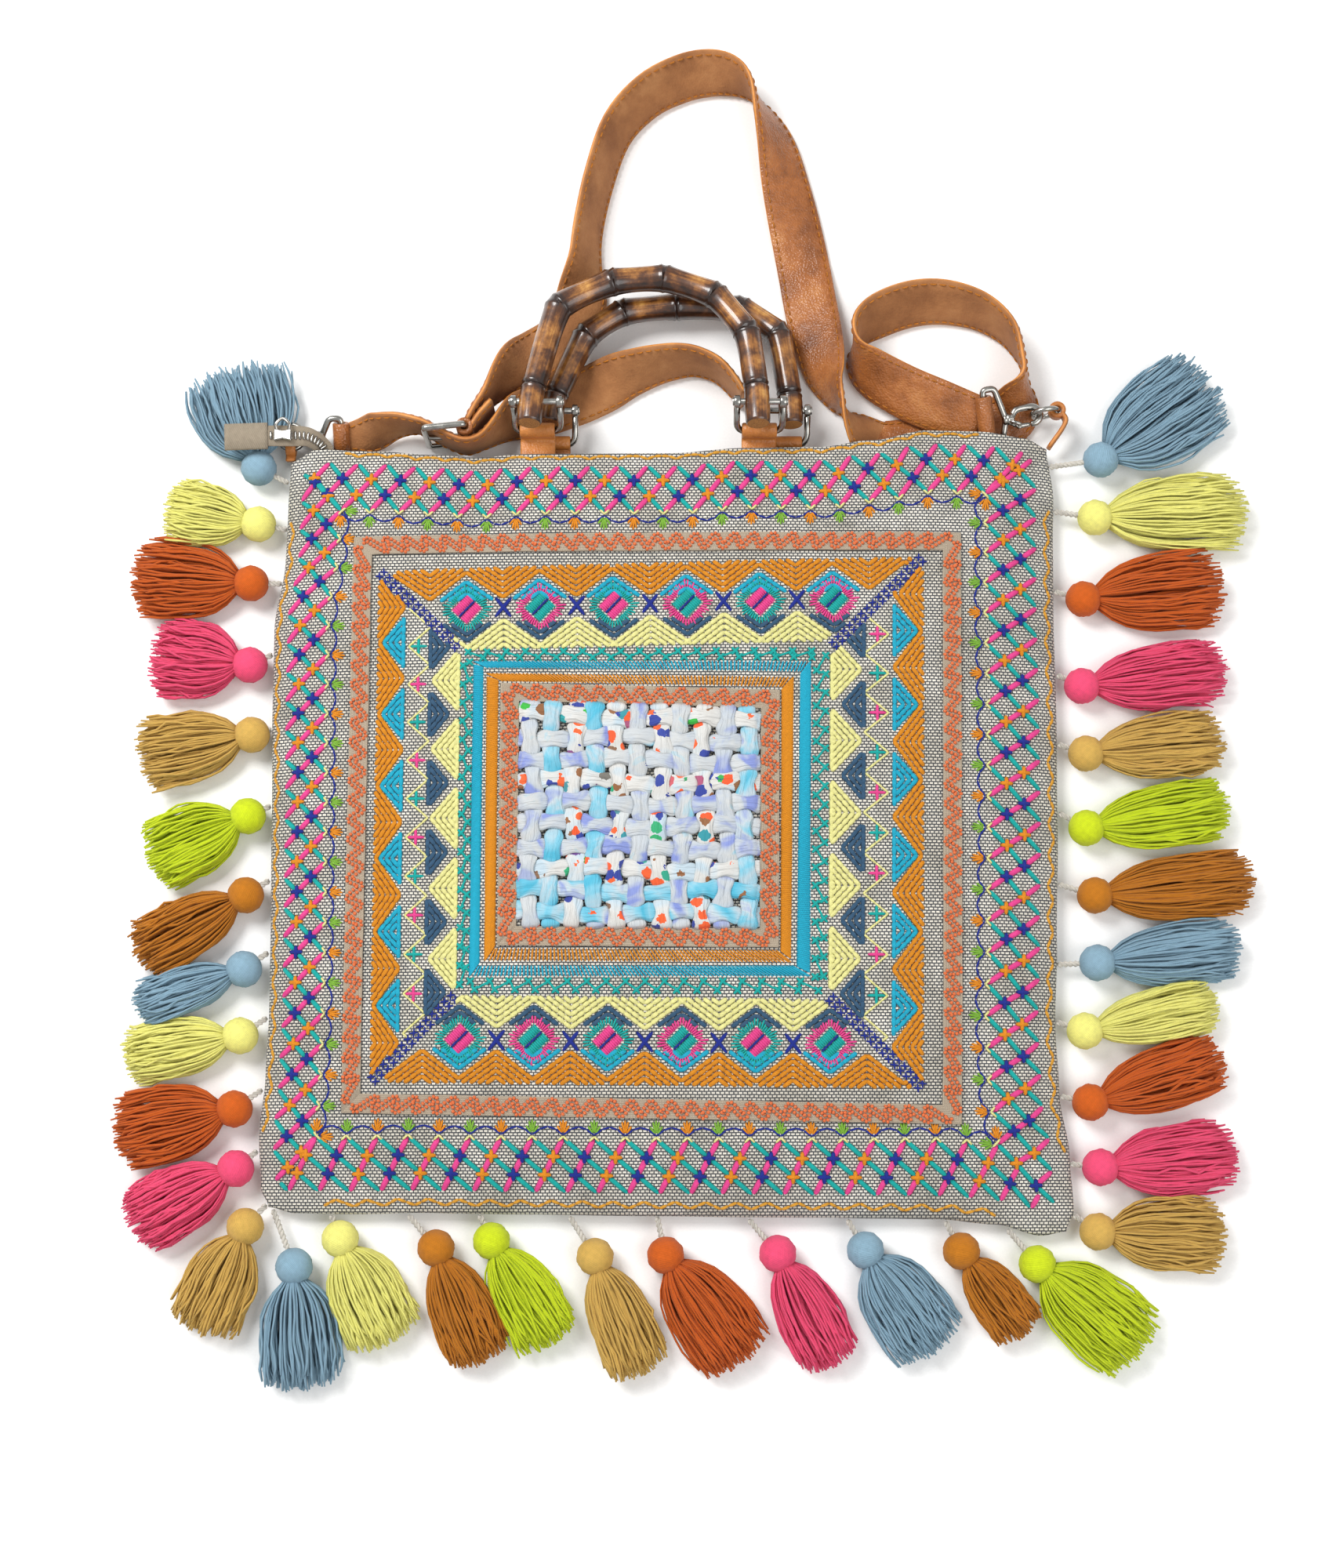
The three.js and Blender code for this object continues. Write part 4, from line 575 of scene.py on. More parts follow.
def canvas_weave():
    """Coarse half-drop weave: pale weft grains over a dark warp, worn a little unevenly."""
    material, tree, uv = begin("canvas_basket_weave", "UV")
    grains = add(tree, "ShaderNodeTexBrick", {
        "Vector": strayed(tree, uv, 0.5, 0.5), "Color1": linear("#e9e4d8"), "Color2": linear("#cdc9be"),
        "Mortar": linear("#43474f"), "Scale": 1.0, "Mortar Size": 0.36, "Mortar Smooth": 0.7,
        "Brick Width": 2.25, "Row Height": 1.55,
    })
    worn = noise(tree, uv, 0.035, 4.0)
    tone = ramp(tree, worn.outputs["Fac"], [(0.3, "#d8d6d0"), (0.7, "#ffffff")])
    return close(material, {
        "Base Color": blend(tree, 1.0, grains.outputs["Color"], tone, "MULTIPLY"), "Roughness": 0.9,
        "Normal": bumped(tree, grains.outputs["Fac"], 0.9, 0.0008, True), "Sheen Weight": 0.15,
    })


def stranded(name, colour, pitch=0.34, slant=0.35, sheen=0.06, rough=0.65, shade=0.78):
    """Plied thread: fine slanted plies with painted shade in the valleys between them, a soft sheen and
    uneven dye.
    """
    material, tree, uv = begin(name, "UV")
    turned = add(tree, "ShaderNodeMapping", {"Vector": uv, "Rotation": (0, 0, slant)}).outputs["Vector"]
    plies = ribs(tree, turned, 0.31 / pitch, 1.2, "Y")
    # Painted shade: the valleys between the plies are darkened by the shade factor.
    deep = [c * shade for c in linear(colour)[:3]] + [1.0]
    plies_with_painted_shade = blend(tree, plies, deep, linear(colour))
    dye = noise(tree, uv, 0.4, 3.0)
    uneven = ramp(tree, dye.outputs["Fac"], [(0.3, "#ececec"), (0.7, "#ffffff")])
    return close(material, {
        "Base Color": blend(tree, 1.0, plies_with_painted_shade, uneven, "MULTIPLY"), "Roughness": rough, "Sheen Weight": sheen,
        "Specular IOR Level": 0.22, "Normal": bumped(tree, plies, 0.7, 0.0003),
    })


def ribbon_weave():
    """Beige grosgrain: fine cross ribs, with painted shade darkening the grooves between them."""
    material, tree, uv = begin("beige_ribbon", "UV")
    weave = sums(tree, "MULTIPLY", ribs(tree, uv, 0.42, 0.6, "X"), ribs(tree, uv, 0.36, 0.4, "Y"))
    # Painted shade: the colour follows the rib pattern, darker in the grooves between the ribs.
    return close(material, {
        "Base Color": ramp(tree, weave, [(0.0, "#8d7f6d"), (0.6, "#cdbda4")]), "Roughness": 0.75,
        "Normal": bumped(tree, weave, 0.7, 0.0004), "Sheen Weight": 0.2,
    })


def strip_cloth(name, stops, flecks):
    """Thin printed cotton, torn in strips: pale washes, soft creases and small flecks of print."""
    material, tree, uv = begin(name, "UV")
    wash = noise(tree, uv, 0.055, 3.0, distortion=0.8)
    base = ramp(tree, wash.outputs["Fac"], stops)
    prints = add(tree, "ShaderNodeTexVoronoi", {"Vector": strayed(tree, uv, 0.45, 2.6), "Scale": 0.16})
    hue = add(tree, "ShaderNodeSeparateColor", {"Color": prints.outputs["Color"]})
    picked = ramp(tree, hue.outputs["Red"], [
        (0.0, "#e2501e"), (0.3, "#e8622a"), (0.36, "#27388e"), (0.6, "#2b3f96"), (0.64, "#2fae24"),
        (0.74, "#1f8f9c"), (0.86, "#8a5a34"),
    ])
    near = sums(tree, "LESS_THAN", prints.outputs["Distance"], 0.46)
    chosen = sums(tree, "LESS_THAN", hue.outputs["Green"], flecks)
    drawn = add(tree, "ShaderNodeMapping", {"Vector": uv, "Scale": (0.06, 0.5, 1.0)}).outputs["Vector"]
    crease = noise(tree, drawn, 1.0, 3.0)
    return close(material, {
        "Base Color": blend(tree, sums(tree, "MULTIPLY", near, chosen), base, picked), "Roughness": 0.7,
        "Normal": bumped(tree, crease.outputs["Fac"], 1.0, 0.002), "Sheen Weight": 0.2,
    })


def tanned_leather(name, stops, rough, grain):
    """Tanned hide: mottled dye, pebble grain over soft wrinkles, with the polish that its face has."""
    material, tree, where = begin(name, "Object")
    mottle = noise(tree, where, 45.0, 6.0, 0.65)
    pebble = add(tree, "ShaderNodeTexVoronoi", {"Vector": where, "Scale": 900.0}).outputs["Distance"]
    wrinkle = noise(tree, where, 240.0, 3.0)
    height = sums(tree, "MULTIPLY_ADD", wrinkle.outputs["Fac"], 1.6, pebble)
    return close(material, {
        "Base Color": ramp(tree, mottle.outputs["Fac"], stops), "Roughness": rough, "Sheen Weight": 0.05,
        "Normal": bumped(tree, height, grain, 0.0006),
    })


def scorched_bamboo():
    """Root bamboo: scorched dark at the knots, gold between, with painted shade on the sides and underside,
    streaked along the grain, lacquered.
    """
    material, tree, uv = begin("scorched_bamboo", "UV")
    drawn = add(tree, "ShaderNodeMapping", {"Vector": uv, "Scale": (0.03, 0.8, 1.0)}).outputs["Vector"]
    streak = noise(tree, drawn, 1.0, 5.0).outputs["Fac"]
    blotch = noise(tree, uv, 0.09, 7.0, 0.62).outputs["Fac"]
    # This attribute holds the scorch of the flares and knots plus painted shade on the sides and underside
    # of the bow.
    knot = add(tree, "ShaderNodeAttribute", attribute_name="darkening").outputs["Fac"]
    dark = sums(tree, "MULTIPLY_ADD", streak, 0.35, sums(tree, "ADD", blotch, knot))
    colour = ramp(tree, dark, [(0.52, "#c9944c"), (0.66, "#99632c"), (0.8, "#563015"), (0.98, "#26130a")])
    return close(material, {
        "Base Color": colour, "Roughness": 0.32, "Coat Weight": 0.7, "Coat Roughness": 0.12,
        "Normal": bumped(tree, streak, 0.25, 0.0006),
    })


def cut_end_grain():
    """Sawn end of bamboo: pale, with dark pores, matt."""
    material, tree, where = begin("bamboo_end_grain", "Object")
    pores = add(tree, "ShaderNodeTexVoronoi", {"Vector": where, "Scale": 1400.0})
    tone = ramp(tree, pores.outputs["Distance"], [(0.1, "#5b3416"), (0.5, "#a8743c")])
    return close(material, {"Base Color": tone, "Roughness": 0.7})


def polished_nickel():
    """Nickel plate: bright, with faint cloudy wear in its polish."""
    material, tree, where = begin("polished_nickel", "Object")
    wear = noise(tree, where, 260.0, 4.0).outputs["Fac"]
    rough = add(tree, "ShaderNodeMapRange", {"Value": wear, "To Min": 0.12, "To Max": 0.34})
    tone = ramp(tree, wear, [(0.2, "#8b8984"), (0.8, "#bdbbb5")])
    return close(material, {"Base Color": tone, "Metallic": 1.0, "Roughness": rough.outputs["Result"]})


def floor_paper():
    """Pale seamless studio paper with a barely visible tooth."""
    material, tree, where = begin("studio_paper", "Object")
    tooth = noise(tree, where, 900.0).outputs["Fac"]
    tone = ramp(tree, tooth, [(0.3, "#f7f7f6"), (0.7, "#fbfbfa")])
    return close(material, {"Base Color": tone, "Roughness": 0.9})


CANVAS = canvas_weave()
RIBBON = ribbon_weave()
LEATHER = tanned_leather("glazed_strap_leather", [
    (0.28, "#6f3d1a"), (0.55, "#a2612f"), (0.78, "#c4854c"),
], 0.34, 0.55)
SUEDE = tanned_leather("brushed_flesh_side", [
    (0.28, "#84522b"), (0.55, "#a46d3f"), (0.78, "#ba8452"),
], 0.85, 0.25)
LEATHER_EDGE = tanned_leather("dyed_leather_edge", [(0.3, "#a8642a"), (0.6, "#d38a3c")], 0.5, 0.2)
TAB_LEATHER = tanned_leather("tan_tab_leather", [
    (0.28, "#98561f"), (0.55, "#c37a38"), (0.78, "#d8924e"),
], 0.42, 0.35)
STRAP_HIDES = [LEATHER, SUEDE, LEATHER_EDGE]
TAB_HIDES = [TAB_LEATHER, SUEDE, LEATHER_EDGE]
BAMBOO = scorched_bamboo()
BAMBOO_END = cut_end_grain()
NICKEL = polished_nickel()
CORD_WHITE = stranded("off_white_cord", "#efe9dd", pitch=0.4, slant=0.6, shade=0.75)
ZIP_CLOTH = stranded("zip_tape_cotton", "#a89a86", pitch=0.6, slant=1.2, sheen=0.1, rough=0.85)
SADDLE_THREAD = stranded("orange_saddle_thread", "#e08a2c")
STRIP_PLAIN = strip_cloth("white_wash_cotton", [
    (0.36, "#7f8dc8"), (0.46, "#b4bcc4"), (0.6, "#c2c4c3"), (0.7, "#84bdd2"),
], 0.02)
STRIP_BLUE = strip_cloth("blue_wash_cotton", [
    (0.34, "#46aac6"), (0.47, "#79bbd0"), (0.6, "#b8c4ca"), (0.72, "#7686c4"),
], 0.04)
STRIP_PRINT = strip_cloth("printed_cotton", [(0.35, "#b4c6d0"), (0.5, "#cdcdca"), (0.7, "#c9c6c0")], 0.7)
TASSEL_YARN = {
    colour: stranded("tassel_yarn_" + colour, code, pitch=0.7, slant=0.8, sheen=0.08, rough=0.85, shade=0.84)
    for colour, code in TASSEL_COLOURS.items()
}


# Mesh building


def unit(rows):
    """Vectors brought to length one."""
    return rows / np.linalg.norm(rows, axis=-1)[..., None]


def mix(a, b, t):
    """Share t of the way from a to b."""
    return np.asarray(a, float) * (1 - t) + np.asarray(b, float) * t


def circle(count):
    """Angles of points spaced evenly round a circle."""
    return np.arange(count) / count * 2 * math.pi


def run_along(path):
    """Length along a path at each of its points."""
    return np.concatenate([[0], np.cumsum(np.linalg.norm(np.diff(path, axis=0), axis=1))])


def at_stops(stops, run, table):
    """Rows of a table read at given lengths along its run."""
    return np.stack([np.interp(stops, run, column) for column in table.T], -1)


def together(*parts):
    """Arrays spread to one shape and set side by side in the last place."""
    return np.stack(np.broadcast_arrays(*parts), -1)


class Pile:
    """Points, four-sided faces, UVs and material numbers of one piece, gathered from many parts."""

    def __init__(self):
        self.points = []
        self.faces = []
        self.uvs = []
        self.slots = []
        self.count = 0

    def put(self, points, faces, uvs, slot=0):
        points = np.reshape(points, (-1, 3))
        self.points.append(points)
        self.faces.append(faces + self.count)
        self.uvs.append(np.reshape(uvs, (-1, 2)))
        self.slots.append(np.broadcast_to(slot, len(faces)))
        self.count += len(points)

    def piece(self, name, materials):
        mesh = bpy.data.meshes.new(name)
        mesh.from_pydata(np.concatenate(self.points) * MM, [], np.concatenate(self.faces))
        for material in materials:
            mesh.materials.append(material)
        mesh.polygons.foreach_set("material_index", np.concatenate(self.slots).astype(np.int32))
        corners = np.empty(len(mesh.loops), np.int32)
        mesh.loops.foreach_get("vertex_index", corners)
        uvs = np.concatenate(self.uvs)[corners]
        mesh.uv_layers.new(name="UVMap").data.foreach_set("uv", uvs.astype(np.float32).ravel())
        mesh.shade_smooth()
        made = bpy.data.objects.new(name, mesh)
        bpy.context.collection.objects.link(made)
        return made


def skin(rows, around, closed=False):
    """Faces over equal rings, with ladder caps on open ends; around is even."""
    ring = np.arange(around)
    after = (ring + 1) % around
    this = np.arange(rows if closed else rows - 1)[:, None]
    following = (this + 1) % rows
    near = this * around
    far = following * around
    corners = [near + ring, near + after, far + after, far + ring]
    faces = [np.stack(corners, -1).reshape(-1, 4)]
    if not closed:
        k = np.arange(around // 2 - 1)
        low = np.stack([k, around - 1 - k, around - 2 - k, k + 1], -1)
        faces.append(low)
        faces.append(low[:, ::-1] + (rows - 1) * around)
    return np.concatenate(faces)


def frames(path, start, closed=False):
    """Tangent, side and other axis along a path; the side turns as little as it can."""
    along = np.roll(path, -1, 0) - np.roll(path, 1, 0) if closed else np.gradient(path, axis=0)
    along = unit(along)
    side = np.array(start, float)
    sides = []
    for t in along:
        side = unit(side - t * side.dot(t))
        sides.append(side)
    sides = np.array(sides)
    return along, sides, np.cross(along, sides)


def rod_parts(path, radius, around=12, closed=False, start=(0.0, 0.0, 1.0)):
    """Points, faces and UVs of a round rod along a path."""
    path = np.asarray(path, float)
    _, side, other = frames(path, start, closed)
    angle = circle(around)
    size = np.broadcast_to(radius, len(path))[:, None]
    ring = np.cos(angle)[:, None] * side[:, None] + np.sin(angle)[:, None] * other[:, None]
    uvs = together(run_along(path)[:, None], size * angle)
    return path[:, None] + size[..., None] * ring, skin(len(path), around, closed), uvs


def smooth(path, steps):
    """Rounded line through every point of a table, all columns alike."""
    path = np.asarray(path, float)
    padded = np.concatenate([[2 * path[0] - path[1]], path, [2 * path[-1] - path[-2]]])
    made = []
    for i in range(len(path) - 1):
        a, b, c, d = padded[i:i + 4]
        for t in np.arange(steps) / steps:
            made.append(0.5 * (2 * b + (c - a) * t + (2 * a - 5 * b + 4 * c - d) * t ** 2
                               + (3 * b - a - 3 * c + d) * t ** 3))
    made.append(path[-1])
    return np.array(made)


def select_only(made):
    """Makes one piece the selected and active one."""
    bpy.ops.object.select_all(action="DESELECT")
    made.select_set(True)
    bpy.context.view_layer.objects.active = made


def settle(made, body, slot, *nodes):
    """A finished piece rides on its body and stands for its solids; its slot is not used."""
    bpy.ops.object.select_all(action="DESELECT")
    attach(made, body)
    if nodes:
        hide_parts(*nodes)
    return made


def apply_all(made):
    """Applies every modifier of a piece."""
    select_only(made)
    for modifier in list(made.modifiers):
        bpy.ops.object.modifier_apply(modifier=modifier.name)


# Pouch surface


def read(table, column, at):
    """Smooth reading of a table column by its first column."""
    at = np.asarray(at, float)
    i = np.clip(np.searchsorted(table[:, 0], at) - 1, 0, len(table) - 2)
    t = np.clip((at - table[i, 0]) / (table[i + 1, 0] - table[i, 0]), 0, 1)
    return table[i, column] + (table[i + 1, column] - table[i, column]) * t * t * (3 - 2 * t)


def seam_span(v):
    """Left seam and width of the pouch at a share of its height."""
    y = SIDES[0, 0] + (SIDES[-1, 0] - SIDES[0, 0]) * v
    left = read(SIDES, 1, y)
    return left, read(SIDES, 2, y) - left


def mouth_span(u, edge):
    """Bottom seam and height of the pouch at a share of its width."""
    x = ENDS[0, 0] + (ENDS[-1, 0] - ENDS[0, 0]) * u
    low = read(ENDS, 1, x)
    return low, read(ENDS, edge, x) - low


def plan(u, v, edge=FRONT_MOUTH):
    """Plan position of a share of the pouch."""
    left, wide = seam_span(v)
    low, tall = mouth_span(u, edge)
    return left + wide * u, low + tall * v


def shares(x, y):
    """Shares of the pouch at a plan position of the front."""
    v = (y - SIDES[0, 0]) / POUCH_TALL
    for _ in range(5):
        left, wide = seam_span(v)
        u = np.clip((x - left) / wide, 0, 1)
        low, tall = mouth_span(u, FRONT_MOUTH)
        v = np.clip((y - low) / tall, 0, 1)
    return u, v


def puff(t):
    """Section of the filled pouch: flat in the middle, falling to nought at both ends."""
    return np.maximum(0, 1 - np.abs(2 * t - 1) ** PUFF_SQUARE) ** PUFF_FALL


def front_height(u, v, x, y):
    """Height of the filled front, with its dents and a slight ripple of the cloth."""
    up = np.where(v < 0.5, puff(v), 1 - (1 - LIP_SHARE) * np.maximum(0, 2 * v - 1) ** 5)
    z = RIM_Z + CROWN * puff(u) * up
    for dent_x, dent_y, reach, depth in DENTS:
        far = np.hypot(x - dent_x, y - dent_y) / reach
        z = z - depth * np.exp(-2 * far ** 2) * puff(u) * np.minimum(up, 1)
    ripple = 0
    for (along, across), (long, cross, sway) in zip(((x, y), (y, x)), RIPPLES):
        ripple = ripple + np.sin(along / long + sway * np.sin(across / cross))
    return z + RIPPLE * ripple * puff(u) * np.minimum(up, puff(v * 0.94 + 0.03))


def front_z(x, y):
    """Height of the front at a plan position."""
    return front_height(*shares(x, y), x, y)


def back_height(u, v):
    """Height of the back: flat, turned up at the seams and a little at the mouth."""
    inset = np.minimum(np.minimum(u, 1 - u) * POUCH_WIDE, v * POUCH_TALL)
    rim = RIM_Z * np.maximum(0, 1 - inset / REAR_RISE) ** 2
    lip = REAR_LIP_Z * np.maximum(0, 1 - (1 - v) * POUCH_TALL / REAR_LIP_RUN) ** 2
    return np.maximum(rim, lip)


def crowded(cells):
    """Shares from nought to one that crowd towards both ends."""
    even = np.linspace(0, 1, cells + 1)
    return EDGE_CROWD * (0.5 - 0.5 * np.cos(math.pi * even)) + (1 - EDGE_CROWD) * even


def canvas_pouch():
    """Front and back cloth, sewn along the sides and bottom and open at the mouth, with a real wall."""
    u, v = np.meshgrid(crowded(CELLS_ACROSS), crowded(CELLS_UP), indexing="ij")
    x, y = plan(u, v)
    front = np.stack([x, y, front_height(u, v, x, y)], -1).reshape(-1, 3)
    back = np.stack([*plan(u, v, REAR_MOUTH), back_height(u, v)], -1).reshape(-1, 3)
    rows = CELLS_UP + 1
    i, j = np.meshgrid(np.arange(CELLS_ACROSS), np.arange(CELLS_UP), indexing="ij")
    a = (i * rows + j).ravel()
    cells = np.stack([a, a + rows, a + rows + 1, a + 1], -1)
    pile = Pile()
    pile.put(front, cells, front[:, :2])
    pile.put(back, cells[:, ::-1], back[:, :2] * (-1, 1))
    made = pile.piece("canvas_pouch", [CANVAS])
    weld = made.modifiers.new("sewn_seams", "WELD")
    weld.merge_threshold = SEAM_WELD * MM
    wall = made.modifiers.new("cloth_wall", "SOLIDIFY")
    wall.thickness = WALL * MM
    wall.offset = -1
    apply_all(made)
    return settle(made, "bag", "canvas", "canvas_body")


# Needlework on the front


class Needle:
    """Gathers straight stitches by colour, as plan points with width, height and lift."""

    def __init__(self):
        self.rows = {}

    def stitch(self, colour, a, b, width, height, lift=0.0):
        self.rows.setdefault(colour, []).append((a[0], a[1], b[0], b[1], width, height, lift))

    def line(self, colour, a, b, width, height, long=LONG_STITCH, overlap=0.5, lift=0.0):
        """A straight line of stitches that overlap a little."""
        a = np.asarray(a, float)
        b = np.asarray(b, float)
        reach = np.linalg.norm(b - a)
        if reach < 0.8:
            return
        count = max(1, round(reach / long))
        step = (b - a) / count
        more = unit(step) * overlap / 2
        for k in range(count):
            self.stitch(colour, a + step * k - more, a + step * (k + 1) + more, width, height, lift)

    def cross(self, colour, middle, arms, *size):
        """Two stitches over one another, given by their half arms."""
        for arm in np.asarray(arms, float):
            self.stitch(colour, middle - arm, middle + arm, *size)

    def sew(self, colour, name, material):
        """One mesh of all stitches of a colour, each a rounded spindle that follows the cloth."""
        rows = np.array(self.rows[colour], float)
        a = rows[:, 0:2]
        b = rows[:, 2:4]
        width, height, lift = rows[:, 4:7].T[:, :, None]
        flat = a[:, None] + (b - a)[:, None] * STITCH_STOPS[:, None]
        x = flat[..., 0]
        y = flat[..., 1]
        z = front_z(x, y)
        slope_x = (front_z(x + SLOPE_STEP, y) - z) / SLOPE_STEP
        slope_y = (front_z(x, y + SLOPE_STEP) - z) / SLOPE_STEP
        up = unit(np.stack([-slope_x, -slope_y, np.ones_like(z)], -1))
        middle = np.stack([x, y, z], -1) + up * lift[..., None]
        along = unit(middle[:, -1] - middle[:, 0])
        side = unit(np.cross(up, along[:, None]))
        half = width / 2 * STITCH_BREADTH
        crest = height * STITCH_CREST
        points = np.stack([
            middle + side * (half * s)[..., None] + up * (crest * h)[..., None] for s, h in STITCH_SECTION
        ], 2)
        first = np.arange(len(rows)) * points[0, ..., 0].size
        faces = skin(len(STITCH_STOPS), len(STITCH_SECTION))[None] + first[:, None, None]
        run = np.linalg.norm(b - a, axis=1)[:, None] * STITCH_STOPS
        shift = (np.arange(len(rows)) * 7.13 % 50)[:, None, None]
        uvs = together(run[..., None] + shift, width[..., None] * STITCH_GIRTH + shift)
        pile = Pile()
        pile.put(points, faces.reshape(-1, 4), uvs)
        return pile.piece(name, [material])


class LatticeSide:
    """One side of the border: t along its inner line, f from the inner line (0) to the outer line (1)."""

    def __init__(self, name):
        first, last, self.out, self.count = LATTICE_SIDES[name]
        axes = [0, 1]
        self.start = LATTICE_IN[axes, first]
        self.run = LATTICE_IN[axes, last] - self.start
        far = LATTICE_OUT[axes, first]
        end = LATTICE_OUT[axes, last]
        length = self.run.dot(self.run)
        self.before = (self.start - far).dot(self.run) / length
        self.after = (end - self.start - self.run).dot(self.run) / length
        self.depth = abs((far - self.start).dot(self.out))

    def at(self, t, f):
        u, v = np.clip(self.start + self.run * t + np.array(self.out) * self.depth * f, 0.004, 0.996)
        return np.array(plan(u, v))

    def inside(self, t, f):
        return -self.before * max(f, 0) - 0.002 <= t <= 1 + self.after * max(f, 0) + 0.002

    def stitch(self, needle, colour, start, end, *size):
        """A stitch between two (t, f) places, cut where it passes the corner."""
        kept = [w for w in np.linspace(0, 1, 11) if self.inside(*mix(start, end, w))]
        if len(kept) > 4:
            a = self.at(*mix(start, end, kept[0]))
            b = self.at(*mix(start, end, kept[-1]))
            needle.stitch(colour, a, b, *size)


def lattice_border(needle):
    """Pink and teal bars that cross twice, star stitches on the crossings, leaves and scallops inside."""
    for name, (pink_lean, teal_lean) in LATTICE_LEAN.items():
        side = LatticeSide(name)
        count = side.count
        for i in range(-3, count + 4):
            for colour, lean, size in (("pink", pink_lean, PINK_BAR), ("teal", teal_lean, TEAL_BAR)):
                for k in range(BARS_IN_LINE):
                    ends = [(k + w) / BARS_IN_LINE for w in (BAR_GAP, 1 - BAR_GAP)]
                    a, b = [((i + lean * f) / count, f) for f in ends]
                    side.stitch(needle, colour, a, b, *size)
            star = "navy" if i % 2 else "orange"
            for f in (1 / BARS_IN_LINE, 2 / BARS_IN_LINE):
                t = (i + pink_lean * f) / count
                if side.inside(t, f):
                    lattice_star(needle, side, star, t, f)
            if 0 <= i <= count:
                lattice_point(needle, side, i)
            if 0 <= i < count:
                lattice_scallops(needle, side, i)


def lattice_star(needle, side, colour, t, f):
    """An upright cross on a crossing of the bars."""
    middle = side.at(t, f)
    across = unit(side.at(t + 0.002, f) - middle) * STAR_REACH
    needle.cross(colour, middle, (across, (-across[1], across[0])), *STAR_STITCH)


def lattice_point(needle, side, i):
    """A small yellow tie at the inner end of the bars and a leaf that points inwards."""
    t = i / side.count
    for way in (-1, 1):
        end = (t + way * TIE_SPREAD / side.count, 0.05)
        side.stitch(needle, "yellow", (t, -0.04), end, *TIE_STITCH)
    base = side.at(t, -0.06)
    inward = unit(side.at(t, -0.3) - base)
    sideways = np.array([-inward[1], inward[0]])
    leaf = "green" if i % 2 else "orange"
    for lean, reach in LEAF_RAYS:
        turn = math.radians(lean)
        ray = (inward * math.cos(turn) + sideways * math.sin(turn)) * reach
        needle.stitch(leaf, base + ray * 0.2, base + ray, *LEAF_STITCH)


def lattice_scallops(needle, side, i):
    """A navy line that bows inwards between the points, and a thin orange line outside the bars."""
    for k in range(SCALLOP_STEPS):
        ends = (k / SCALLOP_STEPS, (k + 1) / SCALLOP_STEPS)
        bow = [((i + w) / side.count, -0.06 - 0.15 * math.sin(math.pi * w)) for w in ends]
        side.stitch(needle, "navy", *bow, *SCALLOP_STITCH)
        wave = [((i + w) / side.count, 1.2 + 0.06 * math.cos(2 * math.pi * w)) for w in ends]
        side.stitch(needle, "marigold", *wave, *EDGE_STITCH)


def panel_side(side):
    """First corner, way along, way inwards, and the share that the mitre at each end takes."""
    first, last = PANEL_ENDS[side]
    start, end = np.array(PANEL_OUT[first]), np.array(PANEL_OUT[last])
    inner_start, inner_end = np.array(PANEL_IN[first]), np.array(PANEL_IN[last])
    long = np.linalg.norm(end - start)
    along = (end - start) / long
    inward = np.array([-along[1], along[0]])
    inward = inward * np.sign(inward.dot(inner_start - start))
    depth = (inward.dot(inner_start - start) + inward.dot(inner_end - end)) / 2
    before = (inner_start - start).dot(along) / long
    after = (end - inner_end).dot(along) / long
    return start, along * long, inward * depth, before, after


def panel_point(side, a, f):
    """Point of a panel side: a along it, f from its outer edge to its inner one."""
    start, along, inward, _, _ = panel_side(side)
    return start + along * a + inward * f


def panel_line(needle, side, colour, first, last, size=PANEL_STITCH):
    """A line of stitches inside the mitred panel side; what lies past the mitres is left out."""
    _, _, _, before, after = panel_side(side)
    kept = []
    for t in np.linspace(0, 1, 33):
        a = first[0] + (last[0] - first[0]) * t
        f = first[1] + (last[1] - first[1]) * t
        if 0.0 <= f <= 1.0 and before * f + MITRE_ROOM <= a <= 1 - after * f - MITRE_ROOM:
            kept.append((a, f))
    if len(kept) > 2:
        needle.line(colour, panel_point(side, *kept[0]), panel_point(side, *kept[-1]), *size)


def peaks(needle, side, colour, a, tips, foot, slope):
    """Nested peaks that stand on one line: two legs from each tip to the foot."""
    for tip in tips:
        for way in (-1, 1):
            panel_line(needle, side, colour, (a, tip), (a + way * abs(foot - tip) * slope, foot))


def chevrons(needle, side, a, first, spacing, half, rise):
    """Ochre chevrons, one behind the other, of equal size."""
    for line in range(CHEVRONS):
        tip = first - spacing * line
        for way in (-1, 1):
            panel_line(needle, side, "ochre", (a, tip), (a + way * half, tip + rise))


def diamond(needle, side, a, f, centre, fringe, flip):
    """Two satin halves split by a navy line, inside a fringe of radial stitches."""
    middle = panel_point(side, a, f)
    across = unit(panel_point(side, a + 0.01, f) - middle)
    inward = unit(panel_point(side, a, f + 0.05) - middle)
    split = (across - flip * inward) / math.sqrt(2)
    cut = np.array([-split[1], split[0]])
    half = DIAMOND_HALF
    for p in np.arange(-half + 0.4, half, DIAMOND_STEP):
        for way in (-1, 1):
            near = middle + split * p + cut * way * 0.5
            needle.stitch(centre, near, middle + split * p + cut * way * half, *SATIN_STITCH)
    needle.line("navy", middle - split * half, middle + split * half, *SPLIT_STITCH, long=3.8, lift=0.3)
    for k, turn in enumerate(circle(FRINGE_RAYS)):
        ray = split * math.cos(turn) + cut * math.sin(turn)
        edge = (half + 0.7) / max(abs(math.cos(turn)), abs(math.sin(turn)))
        reach = edge + FRINGE_REACH[k % len(FRINGE_REACH)]
        needle.stitch(fringe, middle + ray * edge, middle + ray * reach, *FRINGE_STITCH)


